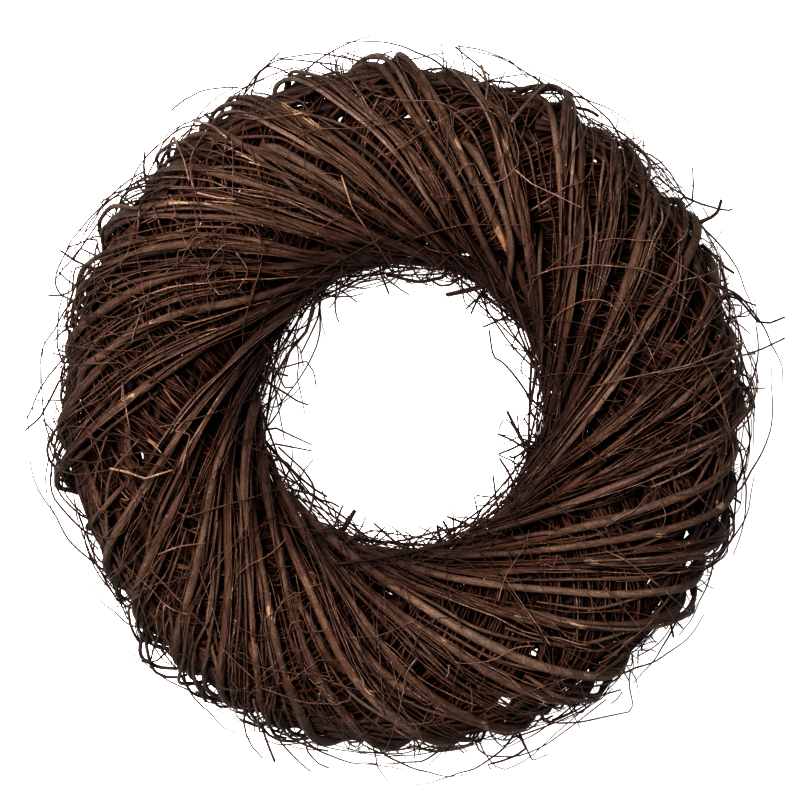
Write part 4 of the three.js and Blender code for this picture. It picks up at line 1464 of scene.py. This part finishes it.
HOLE_STRAYS = [
    (0.4, [(337, 283), (335, 300), (335, 310), (337, 318), (339, 322)]),
    (0.55, [(322, 285), (327, 298)]),
    (0.4, [(352, 276), (338, 290), (345, 293), (352, 298), (357, 302)]),
    (0.4, [(362, 274), (355, 282), (343, 293)]),
    (0.3, [(384, 279), (375, 280), (360, 283), (350, 288)]),
    (0.35, [(372, 266), (369, 282)]),
    (0.55, [(381, 274), (389, 294)]),
    (0.4, [(384, 277), (400, 289), (409, 295)]),
    (0.35, [(399, 278), (393, 285)]),
    (0.4, [(318, 287), (320, 310), (320, 330), (317, 345), (309, 362), (298, 380), (285, 397), (277, 406)]),
    (0.45, [(322, 290), (318, 318), (310, 335), (301, 353)]),
    (0.25, [(319, 300), (322, 325), (326, 339)]),
    (0.3, [(296, 335), (299, 360), (297, 378), (300, 390), (305, 415)]),
    (0.35, [(300, 348), (304, 367)]),
    (0.4, [(278, 369), (292, 365), (306, 361), (314, 372), (316, 386)]),
    (0.55, [(270, 371), (288, 376)]),
    (0.45, [(276, 370), (285, 388), (293, 387)]),
    (0.5, [(268, 383), (285, 393), (297, 401), (308, 405)]),
    (0.3, [(277, 407), (293, 395), (302, 386)]),
    (0.8, [(272, 380), (290, 350), (303, 335), (307, 330), (312, 308), (320, 290)]),
    (0.45, [(276, 428), (295, 437), (312, 445)]),
    (0.45, [(276, 444), (297, 448), (312, 451)]),
    (0.55, [(278, 447), (292, 460), (303, 470), (311, 481), (315, 491), (308, 520), (306, 530)]),
    (0.4, [(299, 480), (304, 470), (313, 460)]),
    (0.65, [(280, 458), (300, 478), (315, 490), (327, 497)]),
    (0.6, [(294, 490), (312, 494), (320, 500), (333, 503), (339, 507)]),
    (0.4, [(298, 495), (312, 512), (320, 525), (328, 545)]),
    (0.4, [(322, 490), (330, 512), (340, 523), (355, 535), (372, 550)]),
    (0.55, [(343, 505), (336, 522), (326, 548)]),
    (1.25, [(355, 510), (345, 527), (331, 550)]),
    (0.4, [(366, 517), (360, 530), (350, 540), (333, 549)]),
    (0.6, [(374, 523), (388, 536), (408, 552)]),
    (0.45, [(385, 527), (370, 542), (358, 552)]),
    (0.35, [(398, 531), (385, 536), (368, 550)]),
    (0.35, [(397, 531), (400, 552)]),
    (0.4, [(405, 531), (412, 536), (404, 552)]),
    (0.4, [(431, 527), (425, 533), (415, 542), (403, 551)]),
    (0.75, [(437, 526), (441, 542)]),
    (0.65, [(437, 526), (445, 531), (458, 545)]),
    (0.7, [(443, 521), (454, 540)]),
    (0.45, [(453, 511), (454, 530), (455, 545)]),
    (0.65, [(447, 517), (460, 522), (475, 527), (492, 532)]),
    (0.3, [(468, 519), (463, 526), (452, 540)]),
    (0.4, [(481, 533), (478, 515), (474, 495), (488, 497), (505, 497), (525, 496)]),
    (0.55, [(493, 475), (496, 498), (500, 522)]),
    (0.4, [(503, 518), (508, 500), (515, 478), (525, 452)]),
    (0.65, [(499, 458), (507, 470), (518, 492)]),
    (0.45, [(499, 455), (512, 461), (532, 474)]),
    (0.6, [(499, 454), (512, 449), (527, 441)]),
    (0.6, [(509, 456), (513, 458), (528, 450)]),
    (0.35, [(500, 446), (512, 440), (524, 435)]),
    (0.4, [(517, 438), (510, 436), (498, 434), (500, 425), (505, 418), (512, 424), (524, 446)]),
    (0.85, [(507, 411), (514, 425), (524, 444)]),
    (0.6, [(498, 434), (512, 440), (528, 450)]),
    (0.45, [(517, 415), (519, 438)]),
    (0.45, [(524, 418), (534, 436)]),
    (0.8, [(537, 362), (533, 390), (529, 410), (536, 420)]),
    (0.55, [(545, 412), (530, 398), (520, 383), (510, 370), (502, 362), (493, 357), (491, 345), (489, 330)]),
    (0.45, [(479, 294), (488, 312), (497, 325), (507, 340), (520, 355), (537, 371)]),
    (0.45, [(498, 300), (505, 322), (512, 333), (523, 347), (536, 364)]),
    (0.35, [(504, 344), (515, 348), (534, 355)]),
    (0.55, [(483, 327), (495, 322), (510, 315)]),
    (0.3, [(501, 326), (514, 318)]),
    (0.55, [(466, 309), (472, 303), (480, 297), (488, 289)]),
    (0.55, [(471, 314), (478, 298)]),
    (0.95, [(446, 294), (460, 291), (484, 286)]),
    (0.75, [(447, 296), (465, 292), (484, 287)]),
    (0.85, [(386, 274), (405, 279), (420, 282), (444, 277)]),
    (0.55, [(426, 277), (440, 286), (450, 285), (462, 277)]),
    (0.6, [(480, 290), (495, 303), (508, 313)]),
]
STRAY_RINGS = 18
STRAY_THICKENING = 1.3
STRAY_HEIGHTS = (-12, 16)
STRAY_RISE = 4
OUTER_ROOT_RADIUS = 187
INNER_ROOT_RADIUS = 95


def seen_at(places, height):
    """Where in the model the photograph's pixels are, at a height over the floor."""
    scale = PIXEL * nearness(height)
    half = PHOTO_SIZE / 2
    x = (places[:, 0] - half) * scale + CAMERA_X
    y = (half - places[:, 1]) * scale + CAMERA_Y
    return np.stack([x, y], axis=-1)


def traced_strays(traces, root_radius, seed):
    """Loose twigs in the places where the photograph has them, each rooted in the ring."""
    rng = np.random.default_rng(seed)
    rings = STRAY_RINGS
    points = np.empty((len(traces), rings, 3))
    radii = np.empty((len(traces), rings))
    for twig, (radius, places) in enumerate(traces):
        height = CENTRE_HEIGHT + rng.uniform(*STRAY_HEIGHTS)
        path = seen_at(np.array(places, float), height)
        distance = np.abs(np.linalg.norm(path, axis=1) - root_radius)
        if distance[0] > distance[-1]:
            path = path[::-1]
        root = path[0] * root_radius / np.linalg.norm(path[0])
        path = evenly(np.vstack([root, path]), rings)
        rise = height + rng.normal(0, STRAY_RISE) * np.linspace(0, 1, rings)
        points[twig] = np.column_stack([path, rise + kinked(rng, 1, rings, bends=5, size=0.6)[0]])
        radii[twig] = tapered(STRAY_THICKENING * radius, rings, tip=0.75)
    return Twigs(points, radii, sides=4, tone=rng.uniform(0, 0.3, len(traces)))


# Tangles along both rims

# Stretches of the outer rim with many loose twigs along it: from, to, and how many
RIM_TANGLES = [(20, 105, 90), (105, 200, 40), (200, 250, 40), (250, 330, 90), (330, 380, 30)]
RIM_TANGLE_RADII = (0.3, 0.95)


def rim_tangle(skin):
    """Twigs that run along the outer rim between and over the rods' loops."""
    rng = np.random.default_rng(SEEDS["rim_tangle"])
    around, section = along_rim(
        rng, RIM_TANGLES, rings=20, sweeps=(9, 30), sections=(-45, 32), turn=34, bends=5, size=3
    )
    radii = drawn_between(rng, len(around), RIM_TANGLE_RADII, power=1.6)
    radii = tapered(radii, around.shape[1], tip=0.6)
    return laid_twigs(rng, skin, around, section, radii, stiff=12, ceiling=13, tones=(0, 1))


# Stiff twigs that cut across the curve of the inner rim: how far from the ring's middle, how
# high and how thick they are. Most run from side to side, and others end on the way
CHORD_COUNT = 140
CHORD_DISTANCES = (70, 89)
CHORD_HEIGHTS = (14, 78)
CHORD_HEIGHT_LIMITS = (6, 82)
CHORD_RADII = (0.3, 1.0)
CHORD_RINGS = 16
CHORD_ROOT_RADIUS = 98
CHORD_WHOLE_CHANCE = 0.6
CHORD_SHORTER = (-0.3, 0.7)
CHORD_BOWS = (-4, 1)
CHORD_RISE = 14


def inner_chords():
    """Stiff twigs that cut across the curve of the inner rim."""
    rng = np.random.default_rng(SEEDS["inner_chords"])
    count, rings = CHORD_COUNT, CHORD_RINGS
    size = (count, 1)
    distance = drawn_between(rng, count, CHORD_DISTANCES, power=0.7)
    rooted = np.sqrt(CHORD_ROOT_RADIUS**2 - distance**2)
    whole = rng.uniform(0, 1, size) < CHORD_WHOLE_CHANCE
    other = rooted * np.where(whole, 1, rng.uniform(*CHORD_SHORTER, size))
    along = between((-rooted, other), np.linspace(0, 1, rings)) * rng.choice((-1, 1), size)
    bow = rng.uniform(*CHORD_BOWS, size) * (1 - (along / rooted) ** 2)
    away = distance - bow + kinked(rng, count, rings, bends=6, size=0.7)
    turn = np.radians(rng.uniform(0, 360, size))
    x = away * np.sin(turn) + along * np.cos(turn)
    y = away * np.cos(turn) - along * np.sin(turn)
    middle = rng.uniform(*CHORD_HEIGHTS, size)
    height = middle + rng.normal(0, CHORD_RISE, size) * along / rooted
    points = np.stack([x, y, np.clip(height, *CHORD_HEIGHT_LIMITS)], axis=-1)
    radii = tapered(drawn_between(rng, count, CHORD_RADII, power=2), rings, tip=0.6)
    return Twigs(points, radii, sides=4, tone=rng.uniform(0, 0.7, count))


# Short twigs that stand off the rims in clumps
FUZZ_COUNT = 260
FUZZ_CLUMP_SIZE = 5
FUZZ_CLUMP_SPREAD = 2.5
FUZZ_LENGTHS = (5, 17)
FUZZ_RINGS = 9
FUZZ_RADII = (0.25, 0.55)
FUZZ_ASIDE = 1.1
FUZZ_UP = 0.35
FUZZ_KINK_LENGTH = 14


def fuzz(seed, sections, lift):
    """Short, thin, kinked twigs that stand off a rim in clumps."""
    rng = np.random.default_rng(seed)
    count, rings = FUZZ_COUNT, FUZZ_RINGS
    clumps = count // FUZZ_CLUMP_SIZE
    around = rng.uniform(0, 360, clumps)[np.arange(count) % clumps]
    around = around + rng.normal(0, FUZZ_CLUMP_SPREAD, count)
    section = rng.uniform(*sections, count)
    root = surface_point(around, section, rng.uniform(*lift, count))
    outward = np.where(np.cos(np.radians(section)) > 0, 1, -1)[:, None]
    radial = ring_point(around, 1.0, 0.0) * outward
    tangent = ring_point(around + 90, 1.0, 0.0)
    heading = radial + tangent * rng.normal(0, FUZZ_ASIDE, (count, 1))
    heading = unit(heading + rng.normal(0, FUZZ_UP, (count, 1)) * (0, 0, 1))
    length = drawn_between(rng, count, FUZZ_LENGTHS, power=1.8)[:, None]
    steps = np.linspace(0, 1, rings)[:, None] * length
    stray = np.stack([kinked(rng, count, rings, bends=4, size=1) for _ in range(3)], axis=-1)
    stray = stray * steps / FUZZ_KINK_LENGTH
    points = root[:, None] + heading[:, None] * steps + stray
    radii = tapered(rng.uniform(*FUZZ_RADII, (count, 1)), rings, tip=0.6)
    return Twigs(points, radii, sides=3, tone=rng.uniform(0, 0.35, count))


# Places with curled fine twigs: a pixel of the photograph, how many pixels they spread, how many
CURLS = [
    (222, 262, 20, 20), (205, 280, 16, 10), (88, 452, 16, 16), (120, 486, 18, 16),
    (116, 300, 20, 10), (170, 225, 22, 8), (660, 250, 24, 8), (612, 330, 26, 8),
    (470, 160, 24, 10), (322, 690, 22, 10), (540, 560, 34, 8), (300, 610, 26, 10),
    (245, 690, 20, 10), (640, 420, 30, 8), (395, 120, 30, 8), (420, 690, 30, 8),
]
CURL_RINGS = 18
CURL_SPREAD = 0.6
CURL_RADII = (4, 20)
CURL_TIGHTENING = (1.3, 0.6)
CURL_SWEEPS = (0.8, 2.8)
CURL_TWIG_RADII = (0.2, 0.45)


def curls(skin):
    """Fine twigs that curl on themselves, in a few clumps."""
    rng = np.random.default_rng(SEEDS["curls"])
    owner = np.repeat(np.arange(len(CURLS)), [number for *_, number in CURLS])
    count, rings = len(owner), CURL_RINGS
    size = (count, 1)
    x, y, spread, _ = np.array(CURLS, float)[owner].T
    places = np.stack([x, y], axis=-1)
    places = places + rng.normal(0, CURL_SPREAD, (count, 2)) * spread[:, None]
    middle_around, middle, _ = photo_skin(places)
    radius = rng.uniform(*CURL_RADII, size)
    sweep = rng.uniform(*CURL_SWEEPS, size) * rng.choice((-1, 1), size)
    turn = rng.uniform(0, 2 * np.pi, size) + sweep * np.linspace(0, 1, rings)
    radius = radius * np.linspace(*CURL_TIGHTENING, rings)
    along_ring, along_section = skin_scale(middle[:, None])
    around = middle_around[:, None] + radius * np.cos(turn) / along_ring
    section = middle[:, None] + radius * np.sin(turn) / along_section
    around = around + kinked(rng, count, rings, bends=6, size=0.45)
    section = section + kinked(rng, count, rings, bends=6, size=1)
    radii = tapered(rng.uniform(*CURL_TWIG_RADII, size), rings, tip=0.6)
    return laid_twigs(rng, skin, around, section, radii, stiff=5, ceiling=18, tones=(0.2, 1))


# Materials

def shader(tree, kind, **values):
    """A new node with some of its inputs set or linked by name."""
    node = tree.nodes.new(kind)
    for key, value in values.items():
        socket = node.inputs[key.replace("_", " ")]
        if isinstance(value, bpy.types.NodeSocket):
            tree.links.new(value, socket)
        else:
            socket.default_value = value
    return node


def attribute(tree, name):
    node = tree.nodes.new("ShaderNodeAttribute")
    node.attribute_name = name
    return node


def stretched_noise(tree, grain, scale, detail, roughness):
    """Noise in the twig laid out straight, with its own scale across and along, per mm."""
    mapping = shader(tree, "ShaderNodeMapping", Vector=grain, Scale=(scale[0], scale[0], scale[1]))
    noise = shader(
        tree, "ShaderNodeTexNoise",
        Vector=mapping.outputs[0], Scale=1.0, Detail=detail, Roughness=roughness,
    )
    return noise.outputs["Fac"]


def ramp(tree, value, stops):
    node = shader(tree, "ShaderNodeValToRGB", Fac=value)
    elements = node.color_ramp.elements
    while len(elements) < len(stops):
        elements.new(0.5)
    for element, (position, colour) in zip(elements, stops):
        element.position = position
        element.color = (*colour, 1)
    return node.outputs["Color"]


def grey(value):
    return (value, value, value)


# Which inputs of a mix node take its factor and its two colours
MIX_SOCKETS = (0, 6, 7)


def mixed(tree, blend, factor, first, second):
    node = tree.nodes.new("ShaderNodeMix")
    node.data_type = "RGBA"
    node.blend_type = blend
    for socket, value in zip(MIX_SOCKETS, (factor, first, second)):
        socket = node.inputs[socket]
        if isinstance(value, bpy.types.NodeSocket):
            tree.links.new(value, socket)
        elif isinstance(value, tuple):
            socket.default_value = (*value, 1)
        else:
            socket.default_value = value
    return node.outputs[2]


# Painted shade by the distance from the ring's middle: darker and redder towards the inner rim, whose steep
# side faces the hole, and a little darker at the outer rim. Millimetres, and what the colour is multiplied
# by there
PAINTED_RIM_SHADES = [
    (93, (0.56, 0.48, 0.48)), (101, (0.72, 0.62, 0.59)), (110, (0.93, 0.85, 0.79)),
    (118, (1, 0.98, 0.94)), (130, (1, 1, 1)), (176, (1, 1, 1)), (192, (0.62, 0.62, 0.62)),
]
SHADED_RADII = (80, 200)

# Painted shade by the depth under the twigs around, in the same form: the deeper the bark lies between the
# twigs, the darker and redder it is, as in their shadow, and tops that stand out are a little lighter, as a
# painted highlight
PAINTED_DEPTH_SHADES = [
    (-5, (1.04, 1.05, 1.07)), (-1, (1, 1, 1)), (2, (0.97, 0.89, 0.83)),
    (5, (0.86, 0.66, 0.54)), (10, (0.4, 0.19, 0.11)),
]
SHADED_DEPTHS = (-6, 12)


def shaded(tree, value, shades, ends, scale=1):
    """A shade looked up by where a value lies between two ends."""
    low, high = ends
    share = shader(
        tree, "ShaderNodeMapRange", Value=value, From_Min=low * scale, From_Max=high * scale
    )
    stops = [((at - low) / (high - low), shade) for at, shade in shades]
    return ramp(tree, share.outputs[0], stops)


def painted_rim_shade(tree):
    """Painted shade: darker and redder towards the inner rim, where less light falls, and a little darker at
    the outer rim.
    """
    place = shader(tree, "ShaderNodeTexCoord").outputs["Object"]
    flat = shader(tree, "ShaderNodeVectorMath", Vector=place)
    flat.operation = "MULTIPLY"
    flat.inputs[1].default_value = (1, 1, 0)
    radius = shader(tree, "ShaderNodeVectorMath", Vector=flat.outputs[0])
    radius.operation = "LENGTH"
    return shaded(tree, radius.outputs["Value"], PAINTED_RIM_SHADES, SHADED_RADII, METRES)


def painted_depth_shade(tree):
    """Painted shade: bark that lies deeper between the twigs is darker and redder, and a painted highlight
    lightens what stands out.
    """
    depth = attribute(tree, "depth").outputs["Fac"]
    return shaded(tree, depth, PAINTED_DEPTH_SHADES, SHADED_DEPTHS)


@dataclass
class Bark:
    """A bark: its three colours, and its bare wood's colour, rarity and how deep its relief is."""

    dark: tuple
    middle: tuple
    light: tuple
    scraped: tuple
    scraped_from: float
    relief: float


BARKS = {
    "rod_bark": Bark(
        (0.037, 0.0188, 0.0118), (0.0645, 0.0375, 0.026), (0.094, 0.0625, 0.049),
        scraped=(0.22, 0.145, 0.095), scraped_from=0.72, relief=0.4,
    ),
    "under_rod_bark": Bark(
        (0.040, 0.021, 0.013), (0.066, 0.036, 0.024), (0.096, 0.060, 0.042),
        scraped=(0.20, 0.13, 0.08), scraped_from=0.74, relief=0.3,
    ),
    "brushwood_bark": Bark(
        (0.029, 0.012, 0.0063), (0.060, 0.0308, 0.0202), (0.112, 0.070, 0.054),
        scraped=(0.22, 0.145, 0.095), scraped_from=0.73, relief=0.2,
    ),
}

# Noise in the bark: its scale across and along the twig, its detail and its roughness
STREAKS = ((0.9, 0.13), 5, 0.7)
MOTTLE = ((0.1, 0.035), 3, 0.55)
FIBRES = ((2.0, 0.9), 4, 0.7)
WEAR = ((0.16, 0.045), 4, 0.65)
DOTS = ((1.3, 0.9), 1, 0.55)

# What the colour is multiplied by at values of the noise, of a twig's tone and of a knot
STREAKED_AT = (0.32, 0.5, 0.68)
MOTTLE_SHADES = [(0.32, grey(0.82)), (0.68, grey(1.15))]
FIBRE_SHADES = [(0.35, grey(0.55)), (0.65, grey(1.4))]
DOT_SHADES = [(0.66, grey(1)), (0.72, grey(2.2))]
KNOT_SHADES = [(0.2, grey(1)), (1.0, grey(0.8))]
TONE_SHADES = [
    (0.0, (0.4, 0.32, 0.3)), (0.3, (0.85, 0.74, 0.68)), (0.7, (1.05, 1.06, 1.06)),
    (0.88, (1.25, 1.35, 1.4)), (1.0, (2.2, 2.5, 2.7)),
]

# How much a scar adds to the wear, and over how much of it the bark ends
SCAR_WEAR = 0.26
SCRAPED_EDGE = 0.03
BARK_ROUGHNESS = (0.6, 0.85)
BARK_SPECULAR = 0.3


def bark_material(name, bark):
    """Bark with streaks along the twig, a tone for each twig, scraped spots, dark knots, and painted shade
    by the rims and the depth between twigs.
    """
    material = bpy.data.materials.new(name)
    material.use_nodes = True
    tree = material.node_tree
    tree.nodes.clear()
    grain = attribute(tree, "grain").outputs["Vector"]
    tone, knot, scar = (attribute(tree, key).outputs["Fac"] for key in ("tone", "knot", "scar"))
    streaks, mottle, fibres, wear, dots = (
        stretched_noise(tree, grain, *noise) for noise in (STREAKS, MOTTLE, FIBRES, WEAR, DOTS)
    )
    colour = ramp(tree, streaks, list(zip(STREAKED_AT, (bark.dark, bark.middle, bark.light))))
    fine = ramp(tree, fibres, FIBRE_SHADES)
    for shade in (
        ramp(tree, mottle, MOTTLE_SHADES), ramp(tree, tone, TONE_SHADES), fine,
        ramp(tree, dots, DOT_SHADES),
    ):
        colour = mixed(tree, "MULTIPLY", 1.0, colour, shade)
    worn = shader(tree, "ShaderNodeMath", Value=scar)
    worn.operation = "MULTIPLY_ADD"
    worn.inputs[1].default_value = SCAR_WEAR
    tree.links.new(wear, worn.inputs[2])
    edge = [(bark.scraped_from, grey(0)), (bark.scraped_from + SCRAPED_EDGE, grey(1))]
    spots = ramp(tree, worn.outputs[0], edge)
    colour = mixed(tree, "MIX", spots, colour, mixed(tree, "MULTIPLY", 1.0, bark.scraped, fine))
    # The knots' own darkening, then painted shade towards the rims and deep between the twigs, with a
    # painted highlight on tops that stand out
    for shade in (ramp(tree, knot, KNOT_SHADES), painted_rim_shade(tree), painted_depth_shade(tree)):
        colour = mixed(tree, "MULTIPLY", 1.0, colour, shade)
    low, high = BARK_ROUGHNESS
    rough = shader(tree, "ShaderNodeMapRange", Value=fibres, To_Min=low, To_Max=high)
    relief = tree.nodes.new("ShaderNodeMath")
    relief.operation = "ADD"
    tree.links.new(streaks, relief.inputs[0])
    tree.links.new(fibres, relief.inputs[1])
    raised = shader(
        tree, "ShaderNodeBump",
        Strength=1.0, Distance=bark.relief * METRES, Height=relief.outputs[0],
    )
    surface = shader(
        tree, "ShaderNodeBsdfPrincipled",
        Base_Color=colour, Roughness=rough.outputs[0], Normal=raised.outputs[0],
        Specular_IOR_Level=BARK_SPECULAR,
    )
    output = tree.nodes.new("ShaderNodeOutputMaterial")
    tree.links.new(surface.outputs[0], output.inputs["Surface"])
    return material


# Stage, light and camera, in metres and watts
FLOOR_HALF = 6.0
FLOOR_DROP = 0.0002
FLOOR_COLOUR = 0.8
FLOOR_ROUGHNESS = 0.9
FLOOR_GLOW = 0.75
ROOM_COLOUR = (1, 0.97, 0.94)
ROOM_STRENGTH = 0.04
SOFTBOX_PLACE = (-0.45, 0.3, 1.62)
SOFTBOX_SIZE = 0.8
SOFTBOX_POWER = 69.5
SOFTBOX_COLOUR = (1, 0.98, 0.96)
FARTHEST_SEEN = 20


def floor_material():
    material = bpy.data.materials.new("floor_white")
    material.use_nodes = True
    surface = material.node_tree.nodes["Principled BSDF"]
    surface.inputs["Base Color"].default_value = (*grey(FLOOR_COLOUR), 1)
    surface.inputs["Roughness"].default_value = FLOOR_ROUGHNESS
    surface.inputs["Emission Color"].default_value = (1, 1, 1, 1)
    surface.inputs["Emission Strength"].default_value = FLOOR_GLOW
    return material


def build_floor():
    mesh = bpy.data.meshes.new("floor")
    corners = [(x * FLOOR_HALF, y * FLOOR_HALF, 0) for x, y in ((-1, -1), (1, -1), (1, 1), (-1, 1))]
    mesh.from_pydata(corners, [], [(0, 1, 2, 3)])
    floor = bpy.data.objects.new("floor", mesh)
    floor.location.z = -FLOOR_DROP
    bpy.context.scene.collection.objects.link(floor)
    floor.data.materials.append(floor_material())
    floor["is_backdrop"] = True


def build_softbox():
    data = bpy.data.lights.new("overhead_softbox", "AREA")
    data.shape = "DISK"
    data.size = SOFTBOX_SIZE
    data.energy = SOFTBOX_POWER
    data.color = SOFTBOX_COLOUR
    light = bpy.data.objects.new("overhead_softbox", data)
    light.location = SOFTBOX_PLACE
    light.rotation_euler = (-Vector(SOFTBOX_PLACE)).to_track_quat("-Z", "Y").to_euler()
    bpy.context.scene.collection.objects.link(light)


def build_room():
    world = bpy.data.worlds.new("soft_room")
    world.use_nodes = True
    background = world.node_tree.nodes["Background"]
    background.inputs["Color"].default_value = (*ROOM_COLOUR, 1)
    background.inputs["Strength"].default_value = ROOM_STRENGTH
    bpy.context.scene.world = world


def build_camera():
    data = bpy.data.cameras.new("photo_camera")
    camera = bpy.data.objects.new("photo_camera", data)
    bpy.context.scene.collection.objects.link(camera)
    data.sensor_width = SENSOR_WIDTH
    frame_width = PIXEL * PHOTO_SIZE
    data.lens = SENSOR_WIDTH * CAMERA_DISTANCE / frame_width
    place = Vector((CAMERA_X, CAMERA_Y, CAMERA_DISTANCE + CENTRE_HEIGHT))
    camera.location = place * METRES
    data.clip_end = FARTHEST_SEEN
    bpy.context.scene.camera = camera


def write_sizes():
    boxes = {"cad": cad_box, "visual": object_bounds()}
    plain = {name: [list(corner) for corner in box] for name, box in boxes.items()}


build_camera()
build_room()
build_softbox()
build_floor()
bpy.context.scene.view_settings.view_transform = "Standard"
bpy.context.scene.view_settings.look = "Very High Contrast"

rod_bark, under_bark, brush_bark = (
    bark_material(name, bark) for name, bark in BARKS.items()
)

# The height over the core's crests that the lowest twigs lie on
LOWEST_TWIGS = -13
ring_skin = Skin(LOWEST_TWIGS)
pieces = brushwood(brush_bark, ring_skin)
pieces += front_rods(rod_bark, ring_skin)
pieces += back_rods(under_bark, ring_skin)
for name, rods in (
    ("extra_rods", extra_rods), ("bundled_rods", bundled_rods), ("inner_rods", inner_rods),
):
    pieces.append(Piece(name, [rods(ring_skin)], rod_bark, "rod_bark"))
outer_strays = TOP_STRAYS + RIGHT_STRAYS + BOTTOM_STRAYS + LEFT_STRAYS
for name, batches in (
    ("fine_twigs", [fine_twigs(ring_skin)]),
    ("crossing_twigs", [crossing_twigs(ring_skin)]),
    ("loose_twigs", [over_twigs(ring_skin), curls(ring_skin)]),
    ("rim_strays", [
        traced_strays(outer_strays, OUTER_ROOT_RADIUS, SEEDS["rim_strays"]),
        fuzz(SEEDS["rim_fuzz"], sections=(-35, 30), lift=(2, 7)),
    ]),
    ("hole_strays", [
        traced_strays(HOLE_STRAYS, INNER_ROOT_RADIUS, SEEDS["hole_strays"]),
        fuzz(SEEDS["hole_fuzz"], sections=(150, 215), lift=(4, 11)),
    ]),
    ("rim_tangle", [rim_tangle(ring_skin)]),
    ("inner_chords", [inner_chords()]),
):
    pieces.append(Piece(name, batches, brush_bark, "brushwood"))
ring_skin.smooth_out()
for piece in pieces:
    add_piece(piece, ring_skin)

write_sizes()
